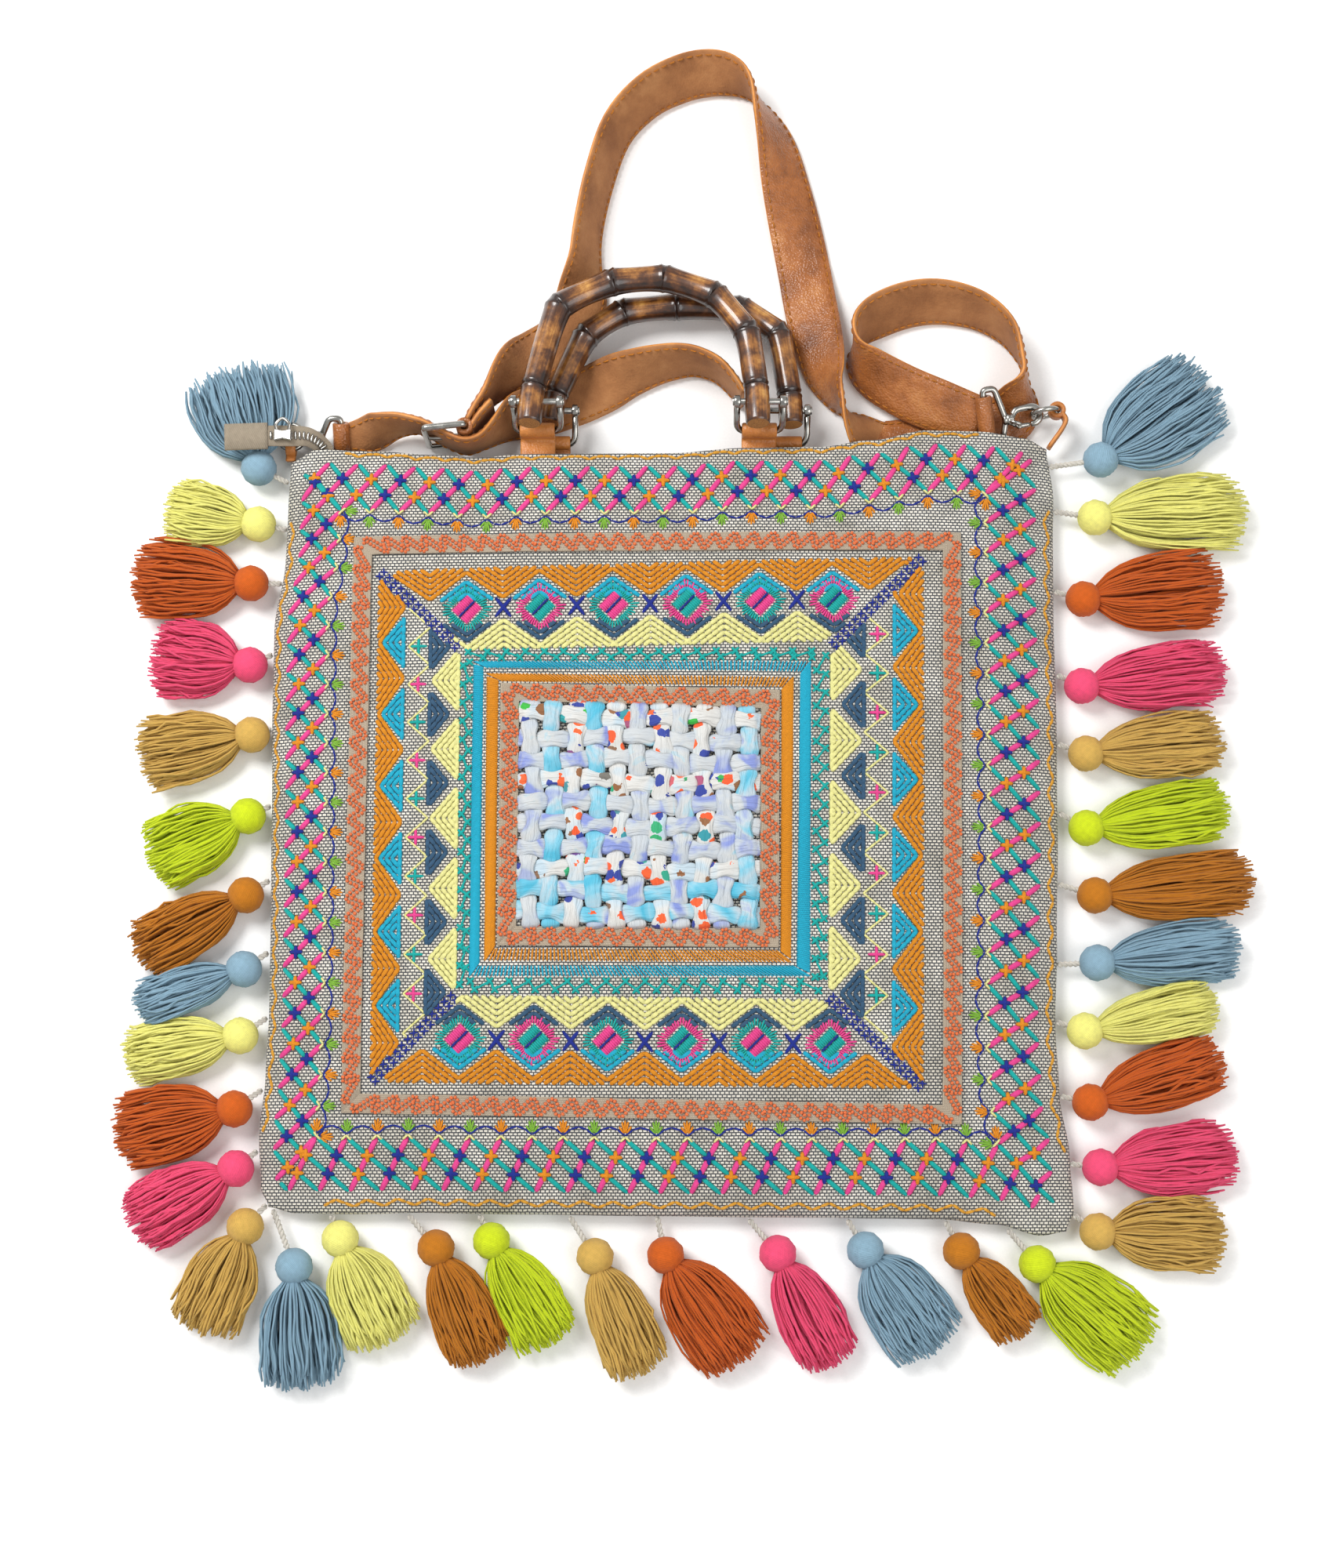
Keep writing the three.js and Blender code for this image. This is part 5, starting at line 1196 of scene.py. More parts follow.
def panel_long_side(needle, side):
    """Top or bottom of the panel: diamonds under orange chevrons, navy crosses, yellow peaks."""
    pitch = 0.134
    half = pitch / 2
    rise = 0.31
    slope = half / rise
    spacing = 0.07
    flip = 1 if side == "top" else -1
    for k in range(-1, 7):
        a = 0.161 + pitch * k
        chevrons(needle, side, a, 0.05, spacing, half, rise)
        if not 0 <= k <= 5:
            continue
        peaks(needle, side, "turquoise", a, (0.165, 0.235, 0.305), 0.385, slope)
        centre, fringe = ("pink", "teal") if k % 2 == 0 else ("teal", "pink")
        diamond(needle, side, a, 0.49, centre, fringe, flip)
        peaks(needle, side, "slate", a, (0.86, 0.79), 0.66, slope)
    for k in range(-1, 7):
        a = 0.094 + pitch * k
        peaks(needle, side, "yellow", a, 0.63 + spacing * np.arange(CHEVRONS), 0.97, slope)
        if 1 <= k <= 5:
            needle.cross("navy", panel_point(side, a, 0.48), ((-4.0, 5.0), (4.0, 5.0)), *NAVY_CROSS)


def panel_short_side(needle, side):
    """Left or right of the panel: turquoise and slate triangles, a yellow zigzag with crosses, peaks."""
    pitch = 0.142
    for k in range(-1, 7):
        a = 0.144 + pitch * k
        chevrons(needle, side, a, 0.02, 0.065, pitch / 2, 0.3)
        if not 0 <= k <= 5:
            continue
        peaks(needle, side, "turquoise", a, (0.075, 0.145, 0.215), 0.3, SHORT_SLOPE)
        panel_line(needle, side, "turquoise", (a - SHORT_PEAK_HALF, 0.315), (a + SHORT_PEAK_HALF, 0.315))
    pitch = 0.0755
    half = 0.0378
    crosses = ("teal", "pink") if side == "left" else ("pink", "teal")
    for k in range(-1, 11):
        a = 0.152 + pitch * k
        panel_line(needle, side, "yellow", (a, 0.38), (a + half, 0.64), ZIGZAG_STITCH)
        panel_line(needle, side, "yellow", (a + half, 0.64), (a + pitch, 0.38), ZIGZAG_STITCH)
        if 0 <= k <= 9:
            needle.cross(crosses[k % 2], panel_point(side, a, 0.5), ((4.4, 0), (0, 4.4)), *SMALL_CROSS)
    for k in range(6):
        a = 0.153 + 0.1352 * k
        half = 0.043
        foot = 0.645
        panel_line(needle, side, "slate", (a - half, foot), (a + half, foot))
        for tip in (0.87, 0.8, 0.73):
            for way in (-1, 1):
                panel_line(needle, side, "slate", (a + way * (tip - foot) * SHORT_SLOPE, 0.66), (a, tip))
    for k in range(-1, 7):
        a = 0.085 + 0.136 * k
        half = 0.055
        foot = 0.985
        peaks(needle, side, "yellow", a, (0.68, 0.75, 0.82, 0.89, 0.95), foot, SHORT_SLOPE)
        panel_line(needle, side, "yellow", (a - half, foot), (a + half, foot))


def mitre_ribbons(needle):
    """Two rows of small navy crosses along each corner of the panel."""
    for out, inner in zip(PANEL_OUT, PANEL_IN):
        run = np.subtract(inner, out)
        count = round(np.linalg.norm(run) / MITRE_PITCH)
        along = unit(run)
        side = np.array([-along[1], along[0]])
        for k in range(count):
            for lane in (-1.6, 1.6):
                middle = np.asarray(out) + run * (k + 0.5) / count + side * lane
                arms = [along * 1.7 + side * 1.4 * way for way in (-1, 1)]
                needle.cross("navy", middle, arms, *MITRE_STITCH)


def corner_run(corners):
    """Sides of a four-cornered line, in order, each with its first and last corner."""
    corners = np.asarray(corners, float)
    return list(zip(corners, np.roll(corners, -1, 0)))


def knotted_row(needle):
    """Two staggered rows of small teal knots, joined by slanting stitches."""
    for (a, b), (c, d) in zip(corner_run(PANEL_IN), corner_run(SATIN_OUT)):
        count = round(np.linalg.norm(b - a) / KNOT_PITCH)

        def knot_at(k, lane, shift):
            t = (k + shift) / count
            return mix(mix(a, b, t), mix(c, d, t), lane)

        for k in range(count):
            knots = [knot_at(k, *row) for row in KNOT_LANES]
            needle.stitch("teal", *knots, *KNOT_LINK)
            if k < count - 1:
                needle.stitch("teal", knots[1], knot_at(k + 1, *KNOT_LANES[0]), *KNOT_LINK)
            for knot in knots:
                needle.cross("teal", knot, ((KNOT_HALF, KNOT_HALF), (KNOT_HALF, -KNOT_HALF)), *KNOT_STITCH)


def satin_bands(needle):
    """Slanting satin bands, turquoise then ochre: close down the sides, open along the top and bottom."""
    for colour, outer, inner in (("turquoise", SATIN_OUT, SATIN_IN), ("ochre", BROCADE_OUT, BROCADE_IN)):
        for k, ((a, b), (c, d)) in enumerate(zip(corner_run(outer), corner_run(inner))):
            gap, width, lean = (1.0, 1.3, 1.6) if k % 2 else (1.9, 1.0, 0.9)
            count = round(np.linalg.norm(b - a) / gap)
            for n in range(count):
                top = mix(a, b, np.clip((n + 0.5 - lean) / count, 0, 1))
                low = mix(c, d, np.clip((n + 0.5 + lean) / count, 0, 1))
                needle.stitch(colour, top, low, width, BAND_HEIGHT)


# Ribbons and patch


def frame_point(corners, k, t, share):
    """Point on side k of a sewn frame: t along, share 0 at its outer edge and 1 at its inner edge."""
    corners = np.asarray(corners, float)
    inner = corners - TRIM_WIDTH * np.sign(corners - corners.mean(0))
    outside = mix(corners[k], corners[(k + 1) % 4], t)
    return mix(outside, mix(inner[k], inner[(k + 1) % 4], t), share)


def frame_reach(corners, k):
    """Length of side k of a sewn frame along its middle."""
    return np.linalg.norm(frame_point(corners, k, 1, 0.5) - frame_point(corners, k, 0, 0.5))


def bead_wave(needle, corners):
    """Double wave of small coral bead stitches on a ribbon."""
    for k in range(4):
        turns = round(frame_reach(corners, k) / WAVE_PERIOD)
        t = np.linspace(0.008, 0.992, turns * WAVE_POINTS)
        swing = np.cos(2 * math.pi * turns * t)
        wave = 0.5 + WAVE_SWING * swing * (0.75 + 0.25 * swing ** 2)
        line = np.array([frame_point(corners, k, a, b) for a, b in zip(t, wave)])
        along = unit(np.gradient(line, axis=0))
        normal = np.stack([-along[:, 1], along[:, 0]], -1)
        for row in (-1, 1):
            lane = line + normal * BEAD_ROWS * row
            run = run_along(lane)
            for start in np.arange(0, run[-1] - BEAD, BEAD):
                ends = at_stops([start + 0.1 * BEAD, start + 0.9 * BEAD], run, lane)
                needle.stitch("coral", *ends, *BEAD_STITCH)


def sewn_ribbon(name, node, corners):
    """Flat ribbon sewn round a four-cornered frame, its edges slightly raised and wavy."""
    rows = []
    uvs = []
    run = 0.0
    for k in range(4):
        step = frame_reach(corners, k) / TRIM_STEPS
        for n in range(TRIM_STEPS):
            ring = []
            for share, lift in TRIM_SECTION:
                wave = TRIM_WAVE * math.sin(run / 6 + k) if share in (0.0, 1.0) else 0.0
                x, y = frame_point(corners, k, n / TRIM_STEPS, share + wave)
                ring.append((x, y, float(front_z(x, y)) + TRIM_GAP + lift * TRIM_THICK))
            rows.append(ring)
            uvs.append([(run, share * TRIM_WIDTH) for share, _ in TRIM_SECTION])
            run += step
    pile = Pile()
    pile.put(rows, skin(len(rows), len(TRIM_SECTION), True)[:, ::-1], uvs)
    return settle(pile.piece(name, [RIBBON]), "bag", "trim", node)


def patch_point(u, v):
    """Plan positions of shares of the patch."""
    u, v = together(u, v).T[..., None]
    return mix(mix(PATCH[0], PATCH[1], u), mix(PATCH[3], PATCH[2], u), v)


def woven_patch():
    """Torn cotton strips, eleven down and ten across, passed over and under each other."""
    rng = random.Random(PATCH_SEED)
    pile = Pile()
    angle = circle(STRIP_AROUND)
    round_x = np.sign(np.cos(angle)) * np.abs(np.cos(angle)) ** 0.75
    round_z = np.sign(np.sin(angle)) * np.abs(np.sin(angle)) ** 0.8
    for way, other in (("down", "across"), ("across", "down")):
        lanes = len(STRIP_CLOTHS[way])
        crossings = len(STRIP_CLOTHS[other])
        s = np.linspace(-STRIP_PAST, 1 + STRIP_PAST, crossings * 8 + 1)
        for lane, cloth in enumerate(STRIP_CLOTHS[way]):
            phase = rng.uniform(0, 6)
            place = (lane + 0.5) / lanes + STRIP_SWAY * np.sin(s * 9 + phase)
            xy = patch_point(place, s) if way == "down" else patch_point(s, place)
            sign = (1 if way == "down" else -1) * (-1) ** lane
            lift = STRIP_MIDDLE + STRIP_SWING * sign * np.cos(math.pi * (s * crossings - 0.5))
            lift = np.where((s < 0) | (s > 1), STRIP_END, lift)
            path = np.column_stack([xy, front_z(xy[:, 0], xy[:, 1]) + TRIM_GAP + lift])
            along = unit(np.gradient(path, axis=0))
            side = unit(np.cross(along, (0.0, 0.0, 1.0)))
            up = np.cross(side, along)
            wide = STRIP_WIDE / 2 * (1 + 0.1 * np.sin(s * 31 + phase) + 0.07 * np.sin(s * 53 + 2 * phase))
            pinch = 1 - STRIP_PINCH * np.cos(2 * math.pi * s * crossings)
            thick = STRIP_THICK / 2 * (1 + 0.1 * np.sin(s * 47 + phase))
            crease = 1 + 0.12 * np.sin(angle * 3 + phase) * np.sin(s * 40 + phase)[:, None]
            breadth = (wide / pinch)[:, None] * round_x
            height = thick[:, None] * (round_z * crease)
            points = path[:, None] + side[:, None] * breadth[..., None] + up[:, None] * height[..., None]
            length = run_along(path) + 170 * phase
            uvs = together(length[:, None], round_x * wide[:, None] + 40 * lane)
            pile.put(points, skin(len(s), STRIP_AROUND), uvs, cloth)
    made = pile.piece("woven_patch_strips", [STRIP_PLAIN, STRIP_BLUE, STRIP_PRINT])
    return settle(made, "bag", "patch", "woven_patch")


# Bamboo handles


def on_handle(handle, x, s, off):
    """Place on a handle: x across, s out from the pin, off above the plane of the bow."""
    turn = math.radians(-handle["droop"])
    y = handle["pin_y"] + s * math.cos(turn) - off * math.sin(turn)
    z = handle["pin_z"] + s * math.sin(turn) + off * math.cos(turn)
    return together(x, y, z)


def bell(far, reach):
    """Smooth bump of height one that dies away over a reach."""
    return np.exp(-(far / reach) ** 2)


def bamboo_bow(handle, body):
    """A bow of root bamboo: straight runs, flared and grooved at each knot, cut flat at the ends."""
    knots = np.array(handle["knots"], float)
    share = np.arange((len(knots) - 1) * BOW_STEPS + 1) / BOW_STEPS
    straight = at_stops(share, np.arange(len(knots)), knots)
    path = mix(straight[:, :2], smooth(knots[:, :2], BOW_STEPS), BOW_ROUND)
    run = run_along(path)
    flat = unit(np.gradient(path, axis=0))
    normal = np.stack([-flat[:, 1], flat[:, 0]], -1)
    flare = np.abs(2 * (share % 1.0) - 1) ** BOW_FLARE
    radius = WAIST_RADIUS + (straight[:, 2] - SHELL_PLAY - WAIST_RADIUS) * flare
    darkening = FLARE_SCORCH * flare
    high, off, reach = KNOT_COLLAR
    deep, narrow = KNOT_GROOVE
    for at in run[BOW_STEPS:-1:BOW_STEPS]:
        far = run - at
        radius += high * bell(np.abs(far) - off, reach) - deep * bell(far, narrow)
        darkening += sum(depth * bell(far, spread) for depth, spread in KNOT_SCORCH)
    tip = np.minimum(run, run[-1] - run)
    radius = (radius * (1 - END_RIM[0] * bell(tip, END_RIM[1])))[:, None]
    angle = circle(BOW_AROUND)
    x, s = (path[:, None] + normal[:, None] * (radius * np.cos(angle))[..., None]).transpose(2, 0, 1)
    points = on_handle(handle, x, s, radius * np.sin(angle))
    uvs = together(run[:, None], WAIST_RADIUS * angle)
    faces = skin(len(run), BOW_AROUND)[:, ::-1]
    cut = np.arange(len(faces)) >= (len(run) - 1) * BOW_AROUND
    pile = Pile()
    pile.put(points, faces, uvs, cut.astype(int))
    made = pile.piece("bamboo_" + handle["name"], [BAMBOO, BAMBOO_END])
    # Painted shade: the sides and underside of the bow are darkened on top of the scorch.
    scorch_and_side_shade = darkening[:, None] + PAINTED_SIDE_SHADE * (1 - np.clip(np.sin(angle + SIDE_SHADE_TURN), 0, 1))
    layer = made.data.attributes.new("darkening", "FLOAT", "POINT")
    layer.data.foreach_set("value", scorch_and_side_shade.ravel().astype(np.float32))
    select_only(made)
    bpy.ops.object.shade_smooth_by_angle(angle=math.radians(50))
    return settle(made, body, "bamboo", handle["name"])


# Metal


def turned_pin(name, middle, axis, radius, depth, rim):
    """A round pin: a cylinder with bevelled rims and a dished end."""
    bpy.ops.object.select_all(action="DESELECT")
    turn = Vector((0, 0, 1)).rotation_difference(Vector(axis)).to_euler()
    place = [c * MM for c in middle]
    bpy.ops.mesh.primitive_cylinder_add(
        vertices=PIN_SIDES, radius=radius * MM, depth=depth * MM, location=place, rotation=turn)
    made = bpy.context.object
    made.name = name
    bpy.ops.object.transform_apply(location=True, rotation=True, scale=True)
    bpy.ops.object.mode_set(mode="EDIT")
    bpy.ops.mesh.select_all(action="DESELECT")
    bpy.ops.object.mode_set(mode="OBJECT")
    for face in made.data.polygons:
        face.select = len(face.vertices) > 4
    bpy.ops.object.mode_set(mode="EDIT")
    bpy.ops.mesh.inset(thickness=rim * PIN_INSET * MM, depth=-rim * PIN_DISH * MM)
    bpy.ops.object.mode_set(mode="OBJECT")
    bevel = made.modifiers.new("rim", "BEVEL")
    bevel.width = rim * MM
    bevel.segments = 2
    bevel.limit_method = "ANGLE"
    apply_all(made)
    made.data.materials.clear()
    made.data.materials.append(NICKEL)
    bpy.ops.object.shade_smooth_by_angle(angle=math.radians(40))
    return made


def joined(name, pieces):
    """Several meshes as one piece."""
    bpy.ops.object.select_all(action="DESELECT")
    for piece in pieces:
        piece.select_set(True)
    bpy.context.view_layer.objects.active = pieces[0]
    bpy.ops.object.join()
    made = bpy.context.object
    made.name = name
    made.data.name = name
    return made


def metal_rod(name, path, radius, closed=False, around=14):
    """A nickel rod along a path."""
    pile = Pile()
    pile.put(*rod_parts(path, radius, around, closed))
    return pile.piece(name, [NICKEL])


def rounded(corners, radius, closed, steps=6):
    """A bent wire's line: straight runs with an arc at each corner."""
    corners = [np.asarray(c, float) for c in corners]
    made = []
    count = len(corners)
    for k, corner in enumerate(corners):
        if not closed and k in (0, count - 1):
            made.append(corner)
            continue
        a = corner + unit(corners[k - 1] - corner) * radius
        b = corner + unit(corners[(k + 1) % count] - corner) * radius
        for t in np.linspace(0, 1, steps + 1):
            made.append(mix(mix(a, corner, t), mix(corner, b, t), t))
    return np.array(made)


def shackle_at(row, x, s, off=0.0):
    """Place on a shackle: x across, s down from the pin, off above the plane of the bow."""
    turn = math.radians(row["slope"])
    handle = row["handle"]
    return np.array([
        row["x"] + x,
        handle["pin_y"] - s * math.cos(turn) - off * math.sin(turn),
        handle["pin_z"] - s * math.sin(turn) + off * math.cos(turn),
    ])


def shackle(row):
    """Bent bow with an eye at each end and a pin through the eyes."""
    corners = [(-BOW_HALF, 0), (-BOW_HALF, row["reach"]), (BOW_HALF, row["reach"]), (BOW_HALF, 0)]
    line = rounded([shackle_at(row, x, s) for x, s in corners], BOW_CORNER, False, 10)
    pieces = [metal_rod(row["name"] + "_bow", line, ROD)]
    pins = []
    for end in (-1, 1):
        pins.append(("eye", end * BOW_HALF, EAR_RADIUS, 2 * EAR_HALF, EAR_RIM))
        head = end * (BOW_HALF + EAR_HALF + PIN_HEAD_OFF)
        pins.append(("pin_head", head, PIN_RADIUS + PIN_HEAD_MORE, PIN_HEAD_DEEP, PIN_HEAD_RIM))
    pins.append(("pin", 0, PIN_RADIUS, 2 * BOW_HALF, PIN_RIM))
    for name, x, *size in pins:
        pieces.append(turned_pin(name, shackle_at(row, x, 0), (1, 0, 0), *size))
    return settle(joined(row["name"] + "_nickel", pieces), "bag", "nickel", row["name"])


# Leather


def leather_band(pile, path, half, thick, up, face, grain_sides):
    """Leather band with trimmed edges; grain_sides says for each span which face has the grain."""
    half = np.broadcast_to(half, len(path))
    points = np.stack([
        path + up * ((half - trim) * w)[:, None] + face * (thick / 2 * t) for w, trim, t in BAND_SECTION
    ], 1)
    girth = np.array([w for w, _, _ in BAND_SECTION])
    uvs = together(run_along(path)[:, None], girth * half[:, None])
    faces = skin(len(path), len(BAND_SECTION))
    match = np.broadcast_to(grain_sides, len(path) - 1)[:, None] * BAND_FACES
    slots = np.full(len(faces), EDGE_SLOT)
    slots[:match.size] = np.where(match > 0, GRAIN_SLOT, np.where(match < 0, FLESH_SLOT, EDGE_SLOT)).ravel()
    pile.put(points, faces, uvs, slots)


def strap_frames(rows):
    """Middles, upward axes, face axes and half widths along a strap, as its solid has them."""
    full = [tuple(row) + (0.0, STRAP_WIDTH)[len(row) - 3:] for row in rows]
    x, y, lean, lift, width = smooth(full, STRAP_STEPS).T
    flat = unit(np.gradient(np.column_stack([x, y]), axis=0))
    level = np.zeros(len(flat))
    along = np.column_stack([flat, level])
    left = np.column_stack([-flat[:, 1], flat[:, 0], level])
    lean = np.radians(lean)
    up = np.cos(lean)[:, None] * (0.0, 0.0, 1.0) + left * np.sin(lean)[:, None]
    half = width / 2
    low = half * np.abs(np.cos(lean)) + STRAP_THICK / 2 * np.abs(np.sin(lean))
    middle = np.column_stack([x, y, low + np.maximum(lift, STRAP_PLAY)])
    return middle, up, np.cross(along, up), half


def strap_stitches(name, parts):
    """Two lines of saddle stitches on both faces of a strap."""
    pile = Pile()
    for middle, up, face, half in parts:
        run = run_along(middle)
        for edge in (-1, 1):
            for side in (-1, 1):
                line = middle + up * ((half - SADDLE_INSET) * edge)[:, None]
                line = line + face * (side * STRAP_THICK / 2)
                for start in np.arange(2.0, run[-1] - 4.0, SADDLE_PITCH):
                    stops = start + SADDLE_LONG * SADDLE_STOPS
                    out = at_stops(stops, run, face) * side
                    path = at_stops(stops, run, line) + out * SADDLE_RISE[:, None]
                    path[:, 2] = np.maximum(path[:, 2], SADDLE_FLOOR)
                    pile.put(*rod_parts(path, SADDLE_RADIUS, 6))
    return settle(pile.piece(name, [SADDLE_THREAD]), "bag", "thread_rust")


def leather_eye(pile, middle, axis, half):
    """Leather folded round a bar: an open tube with a real wall."""
    axis = unit(np.asarray(axis, float))
    start = unit(np.cross(axis, (0.3, 1.0, 0.2)))
    other = np.cross(axis, start)
    angle = circle(EYE_AROUND)[:, None]
    section = np.array([
        (-half, EYE_IN), (-half, EYE_OUT - EYE_TRIM), (-half + EYE_BEVEL, EYE_OUT),
        (half - EYE_BEVEL, EYE_OUT), (half, EYE_OUT - EYE_TRIM), (half, EYE_IN),
    ])
    ring = np.cos(angle) * start + np.sin(angle) * other
    points = np.stack([np.asarray(middle) + axis * a + ring * r for a, r in section], 1)
    pile.put(points, skin(EYE_AROUND, len(section), True), together(angle * EYE_OUT, section[:, 0]))


def handle_tab(row):
    """One strip of leather: out of the mouth, round the shackle's bow and back."""
    loop = ROD + TAB_PLAY + TAB_SKIN / 2
    reach = row["reach"]
    knee_y = shackle_at(row, 0, reach + TAB_KNEE)[1]
    runs = []
    for face in (1, -1):
        z = row["tab_z"] + face * TAB_SKIN / 2
        inside = np.array([0.0, TAB_INSIDE_Y, z])
        knee = np.array([0.0, knee_y, z])
        runs.append([inside, mix(inside, knee, TAB_SPLIT), knee])
    arc = []
    for turn in TAB_TURNS:
        out = reach - TAB_SHORT - loop * TAB_DRAWN * math.cos(turn)
        arc.append(shackle_at(row, 0, out, -loop * math.sin(turn)))
    path = smooth([*runs[0], *arc, *runs[1][::-1]], 4)
    path[:, 0] = row["tab_x"]
    up = np.tile((1.0, 0.0, 0.0), (len(path), 1))
    face = np.cross(unit(np.gradient(path, axis=0)), up)
    pile = Pile()
    leather_band(pile, path, row["tab_half"], TAB_SKIN, up, face, -1)
    return settle(pile.piece(row["tab"] + "_leather", TAB_HIDES), "bag", "leather", row["tab"])


def hook_frame(hook):
    """Place of a hook's strap bar, and its ways along, across and up the bar."""
    turn = math.radians(hook["turn"])
    along = np.array([math.cos(turn), math.sin(turn), 0.0])
    travel = -along if hook["right"] else along
    left = np.array([-travel[1], travel[0], 0.0])
    lean = math.radians(hook["lean"] if hook["right"] else -hook["lean"])
    bar = np.array([0, 0, math.cos(lean)]) + left * math.sin(lean)
    across = np.array([-along[1], along[0], 0.0]) if hook["right"] else np.array([0.0, 0.0, 1.0])
    return np.array([hook["x"], hook["y"], hook["z"]]), along, across, bar


def snap_hook(hook, name, node):
    """Cast snap hook: a loop for the strap, a ringed barrel and a crook."""
    base, along, across, bar = hook_frame(hook)
    half = hook["bar"]
    crook = hook["crook"]
    far = hook["reach"]

    def at(a, b, w=0.0):
        return base + along * a + across * b + bar * w

    corners = [(0, -half), (0, half), (HOOK_SHOULDER, half), (HOOK_TIP, 0), (HOOK_SHOULDER, -half)]
    loop = rounded([at(a, 0, w) for a, w in corners], HOOK_CORNER, True)
    pieces = [metal_rod(name + "_loop", loop, BAR, True)]
    barrel = [at(BARREL_START + a, 0) for a, _ in BARREL]
    pieces.append(metal_rod("barrel", barrel, np.array([r for _, r in BARREL]), False, 18))
    line = [at(a, crook * b) for a, b in CROOK_NECK]
    for turn in np.radians(CROOK_TURNS):
        line.append(at(far + crook * math.cos(turn), crook * math.sin(turn)))
    line.append(at(far - 1, -crook))
    fine = smooth(line, 6)
    size = np.interp(np.linspace(0, 1, len(fine)), CROOK_STOPS, CROOK_RADII)
    pieces.append(metal_rod("crook", fine, size))
    if hook["right"]:
        for side in (-1, 1):
            spread = np.array([0, 0, side])
            ear = [at(EAR_START, -1) + spread * EAR_NARROW, at(EAR_END, -crook) + spread * EAR_WIDE]
            pieces.append(metal_rod("ear", ear, EAR_ROD, False, 10))
    else:
        gate = smooth([*(at(a, crook * b) for a, b in SHUT_GATE), at(far, -crook)], 5)
        pieces.append(metal_rod("shut_gate", gate, SHUT_GATE_ROD))
    return settle(joined(name, pieces), "bag", "nickel", node)


def gate_lever():
    """Sprung gate of the right hook: a small lever with a thumb stud, on its pivot."""
    base, along, across, _ = hook_frame(RIGHT_HOOK)
    pivot = base + along * GATE_START - across * RIGHT_HOOK["crook"]
    end = pivot + along * (RIGHT_HOOK["reach"] - GATE_SHORT - GATE_START)
    path = [mix(pivot, end, t) for t in np.linspace(0, 1, len(GATE_RADII))]
    lever = metal_rod("gate_lever", path, GATE_RADII)
    stud = turned_pin("stud", pivot, (0, 0, 1), *STUD)
    made = joined("right_hook_gate_nickel", [lever, stud])
    return settle(made, "right_hook_gate", "nickel", "right_hook_gate")


def wire_ring(hook, radius, name, node):
    """Ring of round wire in the hook's crook."""
    base, along, across, _ = hook_frame(hook)
    other = np.cross(across, along)
    middle = base + along * (hook["reach"] + radius)
    angle = circle(RING_POINTS)[:, None]
    path = middle + np.cos(angle) * along * radius + np.sin(angle) * other * radius
    pile = Pile()
    pile.put(*rod_parts(path, RING_ROD, 14, True, tuple(across)))
    settle(pile.piece(name, [NICKEL]), "bag", "nickel", node)
    return middle, along, other


def ring_tab(name, node, at, axis, half, tongue):
    """Small leather tab: a fold round the ring and a tongue to the bag."""
    pile = Pile()
    path = smooth(tongue, 6)
    up = np.tile(np.asarray(axis, float), (len(path), 1))
    face = unit(np.cross(unit(np.gradient(path, axis=0)), up))
    leather_band(pile, path, half, RING_TAB_SKIN, up, face, 1)
    leather_eye(pile, at, axis, half)
    return settle(pile.piece(name, TAB_HIDES), "bag", "leather", node)


def straps():
    """Shoulder strap in two lengths: glazed outside, brushed inside, with saddle stitching."""
    buckle_bar = (BUCKLE["right"], BUCKLE["right_y"], (BUCKLE["bottom"] + BUCKLE["top"]) / 2)
    right_base, _, _, right_bar = hook_frame(RIGHT_HOOK)
    left_base, _, _, left_bar = hook_frame(LEFT_HOOK)
    right_eyes = [(right_base, right_bar, STRAP_WIDTH / 2), (buckle_bar, (0, 0, 1), STRAP_WIDTH / 2)]
    left_eyes = [(left_base, left_bar, LEFT_EYE_HALF)]
    for name, lines, turn_row, eyes in (
        ("strap_long", (LONG_STRAP, FOLDED_BACK), STRAP_TURN_ROW, right_eyes),
        ("strap_short", (SHORT_STRAP,), len(SHORT_STRAP), left_eyes),
    ):
        pile = Pile()
        parts = [strap_frames(rows) for rows in lines]
        for middle, up, face, half in parts:
            spans = np.arange(len(middle) - 1)
            sides = np.where(spans < turn_row * STRAP_STEPS, -1, 1)
            leather_band(pile, middle, half, STRAP_THICK, up, face, sides)
        for eye in eyes:
            leather_eye(pile, *eye)
        settle(pile.piece(name + "_leather", STRAP_HIDES), "bag", "leather", name)
        strap_stitches(name + "_stitching", parts)


def strap_buckle():
    """Wire frame with rounded corners, and its prong looped on the bar."""
    left, right = BUCKLE["left"], BUCKLE["right"]
    left_y, right_y = BUCKLE["left_y"], BUCKLE["right_y"]
    bottom, top, z = BUCKLE["bottom"], BUCKLE["top"], BUCKLE["prong_z"]
    corners = [(right, right_y, bottom), (right, right_y, top), (left, left_y, top), (left, left_y, bottom)]
    pieces = [metal_rod("buckle_frame", rounded(corners, BUCKLE_CORNER, True, 8), BAR, True)]
    prong = [(right + x, right_y + y, z) for x, y in PRONG_RIGHT]
    prong += [(left + x, left_y + y, z) for x, y in PRONG_LEFT]
    pieces.append(metal_rod("prong", smooth(prong, 6), PRONG_ROD))
    return settle(joined("strap_buckle_nickel", pieces), "bag", "nickel", "strap_buckle")


# Zip


